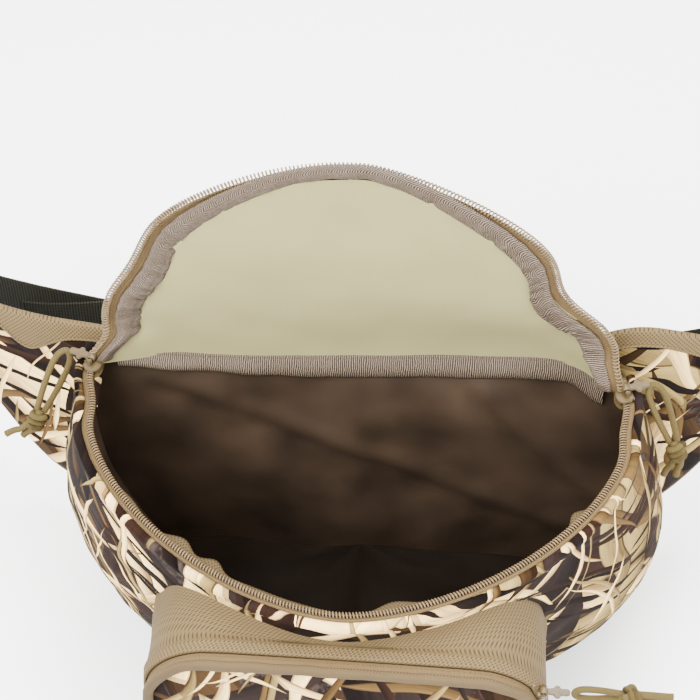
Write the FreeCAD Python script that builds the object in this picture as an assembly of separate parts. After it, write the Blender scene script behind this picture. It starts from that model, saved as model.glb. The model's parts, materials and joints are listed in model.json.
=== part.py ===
import FreeCAD, Part
import math
import os

# Hunting lumbar pack: a soft waist pack with a D-shaped zipped lid, a zipped front pocket,
# two padded belt wings and a buckled belt.  Millimetres.
# X = right seen from the front, -Y = front, +Y = wearer's side, Z = up, bottom at Z = 0.

os.makedirs("parts", exist_ok=True)
V = FreeCAD.Vector

# ---- mouth of the main compartment, in its own plane (x, d = distance in front of the hinge)
HINGE_Y = 70.0
HINGE_Z = 200.0
MOUTH_TILT = 3.0
HINGE_HALF = 151.0
CORNER_SLOPE = 0.30
CORNER_D = 26.0
MOUTH_HALF = 162.0
MOUTH_WIDE_D = 42.0
MOUTH_DEPTH = 176.0
MOUTH_POWER = 1.68
LID_OPEN = 92.0

# ---- body walls
WALL = 3.0
LINING = 1.5
RIM_OUT = 8.0
TAPE_T = 1.2
COIL_W = 2.8
COIL_H = 2.2
# the lid's zip begins past the sliders' furthest travel
LID_ZIP_START = 31.0
CHAIN_GAP = 0.8
MID_Z = 96.0
MID_LEFT = 182.0
MID_RIGHT = 194.0
MID_DEPTH = 160.0
BOTTOM_LEFT = 146.0
BOTTOM_RIGHT = 158.0
BOTTOM_DEPTH = 120.0
BACK_T = 14.0

# ---- front pocket
POCKET_X = 4.0
POCKET_HALF = 116.0
POCKET_LOW = 12.0
POCKET_TOP = 167.0
POCKET_CORNER = 44.0
POCKET_FOOT = 14.0
POCKET_FRONT = -125.0
POCKET_SLIT = -120.0
POCKET_PULL_TILT = 30.0
GUSSET_T = 2.5

# ---- belt
STRAP_W = 38.0
STRAP_T = 2.0
STRAP_Z = 124.0
STRAP_Y = 150.0
WING_T = 13.0

# ---- zip pulls
CORD_D = 3.9
SLIDER_L = 16.0
SLIDER_D = 12.0
EYE_OUT = 0.6
EYE_UP = 7.9
KNOT_R = 5.6
KNOT_L = 12.0
KNOT_GAP = 0.35


def save(shape, name):
    if not shape.isValid():
        shape = shape.copy()
        shape.fix(0.01, 0.01, 0.05)
    shape.exportStep("parts/" + name + ".step")
    box = shape.BoundBox
    text = "%-26s solids %2d valid %s vol %9.1f  x %7.1f %7.1f y %7.1f %7.1f z %7.1f %7.1f"
    values = (name, len(shape.Solids), shape.isValid(), shape.Volume,
              box.XMin, box.XMax, box.YMin, box.YMax, box.ZMin, box.ZMax)
    print(text % values)


def box(x0, x1, y0, y1, z0, z1):
    return Part.makeBox(x1 - x0, y1 - y0, z1 - z0, V(x0, y0, z0))


# ---------------------------------------------------------------- mouth outline helpers

def outline_points(offset, count=23):
    """Curved part of the mouth outline from the right corner round the front to the left."""
    points = []
    first = math.asin(0.12)
    for i in range(count):
        turn = first + (math.pi - 2 * first) * i / (count - 1)
        c = math.cos(turn)
        s = math.sin(turn)
        power = 2.0 / MOUTH_POWER
        x = MOUTH_HALF * math.copysign(abs(c) ** power, c)
        d = MOUTH_WIDE_D + (MOUTH_DEPTH - MOUTH_WIDE_D) * abs(s) ** power
        points.append((x, d))
    moved = []
    for i in range(count):
        a = points[max(i - 1, 0)]
        b = points[min(i + 1, count - 1)]
        tx = b[0] - a[0]
        td = b[1] - a[1]
        if i == 0:
            tx, td = 0.02, 1.0
        if i == count - 1:
            tx, td = 0.02, -1.0
        size = math.hypot(tx, td)
        nx = td / size
        nd = -tx / size
        moved.append((points[i][0] + nx * offset, points[i][1] + nd * offset))
    return moved


def mouth_wire(offset, back, height):
    """Closed outline in the mouth frame (y = -d), its straight side at y = back."""
    size = math.hypot(CORNER_SLOPE, 1.0)
    nx = 1.0 / size
    nd = -CORNER_SLOPE / size
    corner_x = HINGE_HALF + CORNER_SLOPE * CORNER_D + nx * offset
    corner_d = CORNER_D + nd * offset
    back_d = -back
    back_x = corner_x + CORNER_SLOPE * (back_d - corner_d)
    pts = [V(corner_x, -corner_d, height)]
    for x, d in outline_points(offset):
        pts.append(V(x, -d, height))
    pts.append(V(-corner_x, -corner_d, height))
    curve = Part.BSplineCurve()
    curve.interpolate(pts)
    right = Part.LineSegment(V(back_x, back, height), pts[0]).toShape()
    left = Part.LineSegment(pts[-1], V(-back_x, back, height)).toShape()
    close = Part.LineSegment(V(-back_x, back, height), V(back_x, back, height)).toShape()
    return Part.Wire([right, curve.toShape(), left, close])


def mouth_prism(offset, back, low, high):
    face = Part.Face(mouth_wire(offset, back, low))
    return face.extrude(V(0, 0, high - low))


def mouth_band(outer, inner, back, low, high):
    ring = mouth_prism(outer, back, low, high)
    return ring.cut(mouth_prism(inner, back + 30, low - 1, high + 1))


def seat(shape, turned=0.0):
    """Moves a shape from the mouth frame to the pack, turned open about the hinge."""
    moved = shape.copy()
    moved.rotate(V(0, 0, 0), V(1, 0, 0), MOUTH_TILT - turned)
    moved.translate(V(0, HINGE_Y, HINGE_Z))
    return moved


# ---------------------------------------------------------------- body

def section_wire(left, right, depth, z, inset, back):
    """Horizontal D section of the body below the mouth."""
    pts = []
    count = 19
    wide = 34.0
    power = 2.0 / 1.75
    for i in range(count):
        turn = math.pi * i / (count - 1)
        c = math.cos(turn)
        s = math.sin(turn)
        half = right if c > 0 else left
        x = (half - inset) * math.copysign(abs(c) ** power, c)
        d = wide + (depth - inset - wide) * abs(s) ** power
        pts.append(V(x, HINGE_Y - d, z))
    curve = Part.BSplineCurve()
    curve.interpolate(pts)
    narrowing = 10.0 * (back - HINGE_Y + wide) / wide
    back_right = V(right - inset - narrowing, back, z)
    back_left = V(-left + inset + narrowing, back, z)
    one = Part.LineSegment(back_right, pts[0]).toShape()
    two = Part.LineSegment(pts[-1], back_left).toShape()
    three = Part.LineSegment(back_left, back_right).toShape()
    return Part.Wire([one, curve.toShape(), two, three])


def body_solid(inset, back_extra):
    """Solid of the bag, inset from its outside, its back moved out by back_extra."""
    top = mouth_wire(RIM_OUT - inset, back_extra, -0.6)
    top = seat(top)
    back = HINGE_Y + back_extra
    mid = section_wire(MID_LEFT, MID_RIGHT, MID_DEPTH, MID_Z, inset, back)
    low = section_wire(BOTTOM_LEFT, BOTTOM_RIGHT, BOTTOM_DEPTH, 0, inset, back)
    solid = Part.makeLoft([low, mid, top], True, False)
    if solid.Volume < 0:
        solid.reverse()
    print("   body solid inset %.1f valid %s volume %.0f" % (inset, solid.isValid(), solid.Volume))
    return solid


def make_body():
    outside = body_solid(0, 0)
    inside = body_solid(WALL, 30)
    inner = body_solid(WALL + LINING, 30)
    shell = outside.cut(inside)
    save(shell, "outer_shell")
    floor = inside.common(box(-260, 260, -200, HINGE_Y, 0, WALL))
    save(floor, "bottom_panel")
    liner = inside.common(box(-260, 260, -200, HINGE_Y, WALL, 260))
    hollow = inner.common(box(-260, 260, -200, HINGE_Y - LINING, WALL + LINING, 260))
    liner = liner.cut(hollow)
    liner = liner.cut(seat(box(-175, 175, -9, 10, -1.8, 6)))
    save(liner, "interior_lining")
    return outside


def make_back():
    pts = [V(-158, HINGE_Y, 193), V(-171, HINGE_Y, MID_Z), V(-135, HINGE_Y, 0),
           V(147, HINGE_Y, 0), V(183, HINGE_Y, MID_Z), V(158, HINGE_Y, 193)]
    pts.append(pts[0])
    plate = Part.Face(Part.makePolygon(pts)).extrude(V(0, BACK_T, 0))
    rear = [e for e in plate.Edges
            if abs(e.BoundBox.YMin - HINGE_Y - BACK_T) < 0.01 and e.BoundBox.ZMax > 1]
    plate = plate.makeFillet(4.0, rear)
    save(plate, "back_panel")
    y0 = HINGE_Y + BACK_T
    pads = []
    for side in (-1, 1):
        pad = box(min(side * 8, side * 96), max(side * 8, side * 96), y0, y0 + 9, 26, 172)
        edges = [e for e in pad.Edges if e.BoundBox.YMin > y0 - 0.01]
        upright = [e for e in edges if e.BoundBox.YMax > y0 + 8.9]
        pads.append(pad.makeFillet(4.0, upright))
    save(Part.makeCompound(pads), "lumbar_mesh_pads")
    welt = Part.makeCylinder(1.5, 292, V(-146, 0, 0), V(1, 0, 0))
    save(seat(welt), "hinge_welt")
    wall_y = HINGE_Y - LINING
    bound = box(-145, 145, wall_y - 3.4, wall_y, HINGE_Z - 15.2, HINGE_Z - 4.6)
    bound = bound.makeFillet(1.2, [e for e in bound.Edges if e.BoundBox.XLength > 200])
    save(bound, "hinge_binding")


def make_body_zip():
    half = TAPE_T / 2
    tape = mouth_band(RIM_OUT, 0.0, -2.0, -half, half)
    save(seat(tape), "body_zip_tape")
    coil = mouth_band(COIL_W, 0.0, -2.0, half, half + COIL_H)
    save(seat(coil), "body_zip_coil")
    for side, name in ((-1, "left"), (1, "right")):
        tab = box(-5.5, 5.5, -1.6, 9, 0, 1.4)
        tab = tab.makeFillet(0.5, [e for e in tab.Edges if e.BoundBox.ZLength < 0.1])
        tab.rotate(V(0, 0, 0), V(0, 0, 1), side * 14)
        tab.translate(V(side * (HINGE_HALF + 2.5), 0.8, half + 0.1))
        tab = tab.cut(coil)
        save(seat(tab), "zip_end_tab_" + name)


# ---------------------------------------------------------------- lid

def make_lid():
    half = TAPE_T / 2
    start = -LID_ZIP_START
    edge = -CHAIN_GAP
    tape = mouth_band(edge, -10.0, start, -half, half)
    save(seat(tape, LID_OPEN), "lid_zip_tape")
    coil = mouth_band(edge, edge - COIL_W, start, half, half + COIL_H)
    save(seat(coil, LID_OPEN), "lid_zip_coil")
    panel = mouth_prism(-7.4, -3.0, half, half + 1.8)
    save(seat(panel, LID_OPEN), "lid_outer_panel")
    lining = mouth_prism(-10.0, -3.0, -half, half)
    save(seat(lining, LID_OPEN), "lid_lining")
    bound = mouth_band(-8.0, -19.0, -4.0, -half - 2.6, -half)
    save(seat(bound, LID_OPEN), "lid_binding")


# ---------------------------------------------------------------- sliders, tabs and cord pulls

def tube_path(points, radius_at):
    """Straight runs joined by tangent arcs; radius_at gives one radius per inner corner."""
    edges = []
    start = points[0]
    for i in range(1, len(points) - 1):
        corner = points[i]
        into = (corner - points[i - 1]).normalize()
        out = (points[i + 1] - corner).normalize()
        turn = into.getAngle(out)
        radius = radius_at[i - 1]
        reach = radius * math.tan(turn / 2)
        a = corner - into * reach
        b = corner + out * reach
        bisector = (out - into).normalize()
        middle = corner + bisector * (radius / math.cos(turn / 2) - radius)
        edges.append(Part.LineSegment(start, a).toShape())
        edges.append(Part.Arc(a, middle, b).toShape())
        start = b
    edges.append(Part.LineSegment(start, points[-1]).toShape())
    return Part.Wire(edges)


def cord_tube(points, radius_at, diameter):
    path = tube_path(points, radius_at)
    along = (points[1] - points[0]).normalize()
    ring = Part.Wire([Part.Circle(points[0], along, diameter / 2).toShape()])
    tube = path.makePipeShell([ring], True, False)
    full = math.pi * diameter ** 2 / 4 * path.Length
    print("   cord length %.1f volume ratio %.3f radii %s"
          % (path.Length, tube.Volume / full, radius_at))
    return tube


def chain_frame(side, d):
    """Point and directions on the straight end of the chain: along (forwards) and outwards."""
    size = math.hypot(CORNER_SLOPE, 1.0)
    here = V(side * (HINGE_HALF + CORNER_SLOPE * d), -d, 0)
    along = V(side * CORNER_SLOPE / size, -1 / size, 0)
    out = V(side / size, CORNER_SLOPE / size, 0)
    return here, along, out


def local_box(side, d, s0, s1, l0, l1, h0, h1):
    """Box beside the chain: s outwards, l forwards along it, h above the mouth plane."""
    here, along, out = chain_frame(side, d)
    pts = []
    for s, l in ((s0, l0), (s1, l0), (s1, l1), (s0, l1)):
        pts.append(here + out * s + along * l + V(0, 0, h0))
    pts.append(pts[0])
    return Part.Face(Part.makePolygon(pts)).extrude(V(0, 0, h1 - h0))


def eye(centre, along, length, outer, hole):
    """Short tube round a hinge rod."""
    start = centre - along * (length / 2)
    tube = Part.makeCylinder(outer, length, start, along)
    return tube, Part.makeCylinder(hole, length + 2, start - along, along)


def make_slider(side, name):
    half = SLIDER_L / 2
    d = SLIDER_D
    here, along, out = chain_frame(side, d)
    top = local_box(side, d, -6.2, 4.6, -half, half, 3.3, 4.7)
    foot = local_box(side, d, -6.2, 2.9, -half, half, -2.7, -1.3)
    wall = local_box(side, d, -6.2, -1.4, -half + 4, half - 3, -1.3, 3.3)
    body = top.fuse([foot, wall])
    axis = here + out * EYE_OUT + V(0, 0, EYE_UP)
    for end in (-1, 1):
        l0 = min(end * 3.2, end * 5.0)
        body = body.fuse(local_box(side, d, EYE_OUT - 1.5, EYE_OUT + 1.5, l0, l0 + 1.8, 4.7, EYE_UP + 1.5))
    rod = Part.makeCylinder(1.0, 7.0, axis - along * 3.5, along)
    body = body.fuse(rod).removeSplitter()
    save(seat(body), "slider_" + name)
    ring, hole = eye(axis, along, 5.2, 2.5, 1.35)
    arm = local_box(side, d, EYE_OUT + 1.5, 15.0, -2.2, 2.2, EYE_UP - 0.9, EYE_UP + 0.7)
    cross = local_box(side, d, 6.6, 9.0, -4.2, 4.2, EYE_UP - 0.9, EYE_UP + 0.7)
    tab = ring.fuse([arm, cross]).cut(hole).removeSplitter()
    save(seat(tab), "pull_tab_" + name)


def make_knot(centre, down, lean, spread, tails, name):
    knot = Part.makeCylinder(KNOT_R, KNOT_L, centre - down * (KNOT_L / 2), down)
    knot = knot.makeFillet(1.6, knot.Edges[:1] + knot.Edges[2:])
    for sign, length in zip((-1, 1), tails):
        aim = (lean + spread * (0.10 * sign)).normalize()
        root = centre + spread * (2.3 * sign)
        knot = knot.fuse(Part.makeCylinder(CORD_D / 2, length, root, aim))
    save(knot, "pull_knot_" + name)


def make_pull_cord(anchor, knot_at, lean, tails, name):
    """Loop of cord through the tab's end, down to a knot with two tails."""
    down = (knot_at - anchor).normalize()
    across = down.cross(V(0, 1, 0)).normalize()
    top = knot_at - down * (KNOT_L / 2 + KNOT_GAP)
    reach = (top - anchor).Length
    low_a = top - across * 2.3
    low_b = top + across * 2.3
    top_a = anchor - across * 7.0 + down * (reach * 0.24)
    top_b = anchor + across * 7.0 + down * (reach * 0.24)
    cap = anchor - down * 2.0
    tube = cord_tube([low_a, top_a, cap, top_b, low_b], [4.0, 4.0, 4.0], CORD_D)
    save(tube, "pull_cord_" + name)
    make_knot(knot_at, down, lean, across, tails, name)


def make_pull(side, name, knot_at, lean, tails):
    here, along, out = chain_frame(side, SLIDER_D)
    hold = here + out * 17.4 + V(0, 0, EYE_UP)
    wire = Part.Wire([Part.LineSegment(V(0, 0, 0), hold).toShape()])
    make_pull_cord(seat(wire).Vertexes[-1].Point, knot_at, lean, tails, name)


# ---------------------------------------------------------------- front pocket

def pocket_wire(offset, y):
    x0 = POCKET_X - POCKET_HALF - offset
    x1 = POCKET_X + POCKET_HALF + offset
    z0 = POCKET_LOW - offset
    z1 = POCKET_TOP + offset
    big = POCKET_CORNER + offset
    small = POCKET_FOOT + offset
    k = math.sqrt(0.5)
    line = Part.LineSegment
    edges = [line(V(x0 + small, y, z0), V(x1 - small, y, z0)).toShape()]
    mid = V(x1 - small + small * k, y, z0 + small - small * k)
    edges.append(Part.Arc(V(x1 - small, y, z0), mid, V(x1, y, z0 + small)).toShape())
    edges.append(line(V(x1, y, z0 + small), V(x1, y, z1 - big)).toShape())
    mid = V(x1 - big + big * k, y, z1 - big + big * k)
    edges.append(Part.Arc(V(x1, y, z1 - big), mid, V(x1 - big, y, z1)).toShape())
    edges.append(line(V(x1 - big, y, z1), V(x0 + big, y, z1)).toShape())
    mid = V(x0 + big - big * k, y, z1 - big + big * k)
    edges.append(Part.Arc(V(x0 + big, y, z1), mid, V(x0, y, z1 - big)).toShape())
    edges.append(line(V(x0, y, z1 - big), V(x0, y, z0 + small)).toShape())
    mid = V(x0 + small - small * k, y, z0 + small - small * k)
    edges.append(Part.Arc(V(x0, y, z0 + small), mid, V(x0 + small, y, z0)).toShape())
    return Part.Wire(edges)


def pocket_prism(offset, y0, y1):
    return Part.Face(pocket_wire(offset, y0)).extrude(V(0, y1 - y0, 0))


def pocket_ring(outer, inner, y0, y1):
    return pocket_prism(outer, y0, y1).cut(pocket_prism(inner, y0 - 1, y1 + 1))


def make_pocket(outside):
    above = box(-200, 200, -200, 0, 30, 220)
    gusset = pocket_ring(0, -GUSSET_T, -115.0, 0.0)
    gusset = gusset.cut(outside)
    gusset = Part.makeCompound([max(gusset.Solids, key=lambda s: s.Volume)])
    save(gusset.Solids[0], "pocket_gusset")
    slit = POCKET_SLIT
    tape = pocket_ring(0, -TAPE_T, slit + 0.3, -115.0)
    save(tape, "pocket_tape_gusset")
    coil = pocket_ring(-TAPE_T, -3.4, slit + 0.3, slit + 2.6).common(above)
    save(coil, "pocket_coil_gusset")
    tape = pocket_ring(0, -TAPE_T, POCKET_FRONT, slit - 0.3)
    save(tape, "pocket_tape_flap")
    coil = pocket_ring(-TAPE_T, -3.4, slit - 2.6, slit - 0.3).common(above)
    save(coil, "pocket_coil_flap")
    panel = pocket_prism(-3.6, POCKET_FRONT - 2.6, POCKET_FRONT)
    save(panel, "pocket_front_panel")
    bound = pocket_ring(1.5, -3.6, POCKET_FRONT - 4.2, POCKET_FRONT)
    save(bound, "pocket_binding")


def make_pocket_pull():
    """Slider on the rounded top corner of the pocket's zip, built upright and then tilted."""
    x = POCKET_X + POCKET_HALF
    centre = V(x - POCKET_CORNER, POCKET_SLIT, POCKET_TOP - POCKET_CORNER)
    front = POCKET_SLIT - 4.3
    rear = POCKET_SLIT + 4.3
    half = SLIDER_L / 2
    body = box(x + 0.5, x + 1.9, front, rear, centre.z - half, centre.z + half)
    axis = V(x + 4.9, POCKET_SLIT, centre.z)
    along = V(0, 1, 0)
    for y0 in (front, rear - 1.4):
        body = body.fuse(box(x + 1.9, x + 6.4, y0, y0 + 1.4, axis.z - 1.5, axis.z + 1.5))
    rod = Part.makeCylinder(1.0, 8.0, axis - along * 4.0, along)
    body = body.fuse(rod).removeSplitter()
    body.rotate(centre, along, -POCKET_PULL_TILT)
    save(body, "pocket_slider")
    tilt = math.radians(POCKET_PULL_TILT)
    reach = POCKET_CORNER + 4.9
    axis = centre + V(reach * math.cos(tilt), 0, reach * math.sin(tilt))
    print("   pocket pull axis %.3f %.3f" % (axis.x, axis.z))
    ring, hole = eye(axis, along, 5.0, 2.4, 1.35)
    arm = box(axis.x + 1.5, axis.x + 15.0, POCKET_SLIT - 2.2, POCKET_SLIT + 2.2,
              axis.z - 0.7, axis.z + 0.7)
    cross = box(axis.x + 6.6, axis.x + 9.0, POCKET_SLIT - 4.0, POCKET_SLIT + 4.0,
                axis.z - 0.7, axis.z + 0.7)
    tab = ring.fuse([arm, cross]).cut(hole).removeSplitter()
    save(tab, "pocket_pull_tab")
    anchor = axis + V(17.4, 0, 0)
    knot = anchor + V(32, 0, 1.0)
    make_pull_cord(anchor, knot, V(0.99, 0, -0.12).normalize(), (33, 24), "pocket")


# ---------------------------------------------------------------- belt wings and belt

def wing_stations():
    """Along the wing: x, y of the front face, lower and upper edge, heading from +X."""
    return ((112, 84, 30, 186, 0), (160, 84, 14, 196, 4), (204, 90, 54, 196, 14),
            (240, 104, 98, 190, 30), (268, 126, 114, 178, 48), (284, 150, 122, 166, 66))


def wing_layer(side, near, far, trim):
    wires = []
    for x, y, low, high, heading in wing_stations():
        turn = math.radians(heading)
        nx = -math.sin(turn)
        ny = math.cos(turn)
        a = V(side * (x + nx * near), y + ny * near, 0)
        b = V(side * (x + nx * far), y + ny * far, 0)
        z0 = low + trim
        z1 = high - trim
        pts = [a + V(0, 0, z0), b + V(0, 0, z0), b + V(0, 0, z1), a + V(0, 0, z1)]
        pts.append(pts[0])
        wires.append(Part.makePolygon(pts))
    return Part.makeLoft(wires, True, True)


def make_wings():
    for side, name in ((-1, "left"), (1, "right")):
        cover = wing_layer(side, 0.0, 2.0, 0.0)
        save(cover, "wing_cover_" + name)
        pad = wing_layer(side, 2.0, WING_T - 2.0, 2.0)
        save(pad, "wing_pad_" + name)
        backing = wing_layer(side, WING_T - 2.0, WING_T, 0.0)
        save(backing, "wing_backing_" + name)


def strap(points, thick, z0, z1):
    """Flat strap standing on edge along a plan line."""
    front = []
    rear = []
    last = len(points) - 1
    for i in range(len(points)):
        a = V(points[max(i - 1, 0)][0], points[max(i - 1, 0)][1], 0)
        b = V(points[min(i + 1, last)][0], points[min(i + 1, last)][1], 0)
        along = (b - a).normalize()
        side = V(-along.y, along.x, 0)
        here = V(points[i][0], points[i][1], z0)
        front.append(here)
        rear.append(here + side * thick)
    pts = front + rear[::-1]
    pts.append(pts[0])
    return Part.Face(Part.makePolygon(pts)).extrude(V(0, 0, z1 - z0))


def make_belt():
    z0 = STRAP_Z
    z1 = STRAP_Z + STRAP_W
    y = STRAP_Y
    right = [(288, 152), (291, 158), (287, 165), (276, 166), (240, 158), (200, y + 3),
             (150, y), (44, y)]
    save(strap(right, -STRAP_T, z0, z1), "belt_webbing_right")
    left = [(-288, 152), (-291, 158), (-287, 165), (-276, 166), (-240, 158), (-200, y + 3),
            (-150, y), (-42, y)]
    save(strap(left, STRAP_T, z0, z1), "belt_webbing_left")
    tail = [(-52, y - 4.6), (-150, y - 4.6), (-205, y - 2.6), (-232, y + 1.0)]
    save(strap(tail, STRAP_T, z0 + 1, z1 + 1), "belt_tail")
    keeper = box(-104, -94, y - 9.2, y + 4.6, z0 - 3.4, z1 + 4.4)
    keeper = keeper.cut(box(-110, -90, y - 7.2, y + 2.6, z0 - 1.4, z1 + 2.4))
    keeper = keeper.makeFillet(0.8, [e for e in keeper.Edges if e.BoundBox.XLength > 9])
    save(keeper, "strap_keeper")


def make_buckle():
    z0 = STRAP_Z - 3.0
    z1 = STRAP_Z + STRAP_W + 3.0
    zc = (z0 + z1) / 2
    y0 = STRAP_Y - 7.0
    y1 = STRAP_Y + 7.0
    shell = box(2, 42, y0, y1, z0, z1)
    shell = shell.makeFillet(3.0, [e for e in shell.Edges if e.BoundBox.ZLength < 0.1
                                   and e.BoundBox.YLength < 0.1])
    shell = shell.cut(box(-1, 33, y0 + 2, y1 - 2, z0 + 4, z1 - 4))
    shell = shell.cut(box(10, 26, y0 + 2, y1 - 2, z0 - 1, z1 + 1))
    shell = shell.cut(box(35.5, 39.5, y0 - 1, y1 + 1, z0 + 2.6, z1 - 2.6))
    save(shell, "buckle_socket")
    frame = box(-42, -1.0, y0 + 1.5, y1 - 1.5, z0 + 1, z1 - 1)
    frame = frame.cut(box(-38, -33, y0 - 1, y1 + 1, z0 + 3.5, z1 - 3.5))
    frame = frame.cut(box(-30, -25, y0 - 1, y1 + 1, z0 + 3.5, z1 - 3.5))
    frame = frame.cut(box(-19, 0, y0 - 1, y1 + 1, z0 + 10, z1 - 10))
    frame = frame.cut(box(-12, 1, y0 - 1, y1 + 1, z0 - 1, z0 + 10.4))
    frame = frame.cut(box(-12, 1, y0 - 1, y1 + 1, z1 - 10.4, z1 + 1))
    tongue = box(-21, 30, STRAP_Y - 2, STRAP_Y + 2, zc - 3, zc + 3)
    frame = frame.fuse(tongue).removeSplitter()
    save(frame, "buckle_plug")
    for sign, name in ((-1, "lower"), (1, "upper")):
        edge = zc + sign * 17.4
        inner = zc + sign * 12.3
        arm = box(-11.5, 24, STRAP_Y - 3.6, STRAP_Y + 3.6, min(edge, inner), max(edge, inner))
        outer = zc + sign * 20.6
        grip = box(11, 24, STRAP_Y - 3.6, STRAP_Y + 3.6, min(edge, outer), max(edge, outer))
        arm = arm.fuse(grip).removeSplitter()
        save(arm, "buckle_arm_" + name)


outside_solid = make_body()
make_back()
make_body_zip()
make_lid()
make_slider(-1, "left")
make_slider(1, "right")
make_pull(-1, "left", V(-200, 40, 165), V(-0.75, -0.25, -0.6).normalize(), (22, 17))
make_pull(1, "right", V(196, 41.5, 170), V(-0.10, -0.20, -0.97).normalize(), (20, 21))
make_pocket(outside_solid)
make_pocket_pull()
make_wings()
make_belt()
make_buckle()
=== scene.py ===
import json
import math

import bmesh
import bpy
import numpy as np
from mathutils import Matrix, Vector, noise
from mathutils.bvhtree import BVHTree


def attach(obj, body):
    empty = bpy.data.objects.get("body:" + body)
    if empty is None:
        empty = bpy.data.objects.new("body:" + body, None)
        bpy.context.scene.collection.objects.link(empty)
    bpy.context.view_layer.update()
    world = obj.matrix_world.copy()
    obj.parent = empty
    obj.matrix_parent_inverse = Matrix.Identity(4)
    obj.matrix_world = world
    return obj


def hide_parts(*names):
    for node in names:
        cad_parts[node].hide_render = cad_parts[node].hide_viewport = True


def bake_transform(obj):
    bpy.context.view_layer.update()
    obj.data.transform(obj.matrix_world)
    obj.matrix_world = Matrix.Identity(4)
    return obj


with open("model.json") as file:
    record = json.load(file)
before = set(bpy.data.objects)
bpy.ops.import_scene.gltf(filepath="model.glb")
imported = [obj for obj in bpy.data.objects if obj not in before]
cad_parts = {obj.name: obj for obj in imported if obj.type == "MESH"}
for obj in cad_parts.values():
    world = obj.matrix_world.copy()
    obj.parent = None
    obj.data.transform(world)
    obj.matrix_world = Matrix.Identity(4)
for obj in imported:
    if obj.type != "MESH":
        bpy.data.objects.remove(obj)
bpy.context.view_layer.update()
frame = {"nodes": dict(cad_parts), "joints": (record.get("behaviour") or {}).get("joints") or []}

# Hunting lumbar pack: cloth, zips, cords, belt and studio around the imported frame.

MM = 0.001
JOINTS = {j["name"]: j for j in frame["joints"]}
HINGE = Vector(JOINTS["lid_hinge"]["pos_m"])
LID_OPEN = math.radians(JOINTS["lid_hinge"]["range_deg"][1])

# the mouth, in its own plane: x, and d in front of the hinge (millimetres, as in the design)
MOUTH_TILT = math.radians(3.0)
HINGE_HALF = 151.0
CORNER_SLOPE = 0.30
CORNER_D = 26.0
MOUTH_HALF = 162.0
MOUTH_WIDE_D = 42.0
MOUTH_DEPTH = 176.0
MOUTH_POWER = 1.68

# the body below the mouth: half widths and depth of its sections
MID_Z, MID_LEFT, MID_RIGHT, MID_DEPTH = 96.0, 182.0, 194.0, 160.0
BOTTOM_LEFT, BOTTOM_RIGHT, BOTTOM_DEPTH = 146.0, 158.0, 120.0
RIM_OUT = 8.0

POCKET_X, POCKET_HALF, POCKET_LOW, POCKET_TOP = 4.0, 116.0, 12.0, 167.0
POCKET_CORNER, POCKET_FOOT = 44.0, 14.0

BACK_LOW, BACK_TALL = 1.0, 193.0
PAD_X, PAD_Z, PAD_HALF_X, PAD_HALF_Z = 52, 99, 43, 73
BELT_LOW, BELT_HIGH, BELT_Y, WEB_THICK = 124.0, 162.0, 150.0, 2.0

# the view and its light
CAMERA_TURN, CAMERA_UP, CAMERA_ROLL = 4.0, 50.0, 0.3
CAMERA_LENS, CAMERA_AWAY, CAMERA_AIM = 102.0, 1.1, (-0.002, 0.0, 0.297)
SKY_STRENGTH = 3.1

CORD_D = 3.9
SLIDER_D = 12.0
EYE_OUT, EYE_UP = 0.6, 7.9


# ================================================================ small helpers

def clamp(value, low=0.0, high=1.0):
    return max(low, min(high, value))


def smooth(a, b, value):
    t = clamp((value - a) / (b - a))
    return t * t * (3 - 2 * t)


def bump(value, centre, width):
    return math.exp(-((value - centre) / width) ** 2)


def wave(x, y, z, size, seed=0.0):
    """Smooth noise, about -0.5 to 0.5, with features of that size in millimetres."""
    return noise.noise(Vector((x / size + seed, y / size - seed, z / size + 2 * seed)))


def make_object(name, verts, faces, uvs=None, smooth_faces=True):
    """A mesh object from points in millimetres. uvs: one (u, v) in metres per face corner."""
    mesh = bpy.data.meshes.new(name)
    mesh.from_pydata([Vector(v) * MM for v in verts], [], faces)
    if uvs is not None:
        layer = mesh.uv_layers.new(name="UVMap")
        layer.data.foreach_set("uv", np.array(uvs, np.float32).ravel())
    mesh.update()
    if smooth_faces:
        mesh.polygons.foreach_set("use_smooth", [True] * len(mesh.polygons))
    piece = bpy.data.objects.new(name, mesh)
    bpy.context.scene.collection.objects.link(piece)
    return piece


def run_lengths(points):
    total = [0.0]
    for a, b in zip(points, points[1:]):
        total.append(total[-1] + (Vector(b) - Vector(a)).length)
    return total


def surface(name, rows, closed=False, caps=False):
    """Quads through rows of points; u runs along a row, v down each column, both as lengths."""
    count = len(rows[0])
    verts = [p for row in rows for p in row]
    middle = rows[len(rows) // 2]
    along = run_lengths(middle + [middle[0]] if closed else middle)
    down = [run_lengths([row[i] for row in rows]) for i in range(count)]
    faces = []
    uvs = []
    for r in range(len(rows) - 1):
        for i in range(count if closed else count - 1):
            j = (i + 1) % count
            faces.append((r * count + i, r * count + j, (r + 1) * count + j, (r + 1) * count + i))
            u0, u1 = along[i] * MM, along[i + 1] * MM
            uvs += [(u0, down[i][r] * MM), (u1, down[j][r] * MM),
                    (u1, down[j][r + 1] * MM), (u0, down[i][r + 1] * MM)]
    if caps:
        for r, flip in ((0, True), (len(rows) - 1, False)):
            ring = [r * count + i for i in range(count)]
            faces.append(tuple(reversed(ring)) if flip else tuple(ring))
            uvs += [(0.0, 0.0)] * count
    return make_object(name, verts, faces, uvs)


def thicken(piece, amount, offset=-1.0):
    shell = piece.modifiers.new("thickness", "SOLIDIFY")
    shell.thickness = amount * MM
    shell.offset = offset
    shell.use_even_offset = False
    return piece


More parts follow.
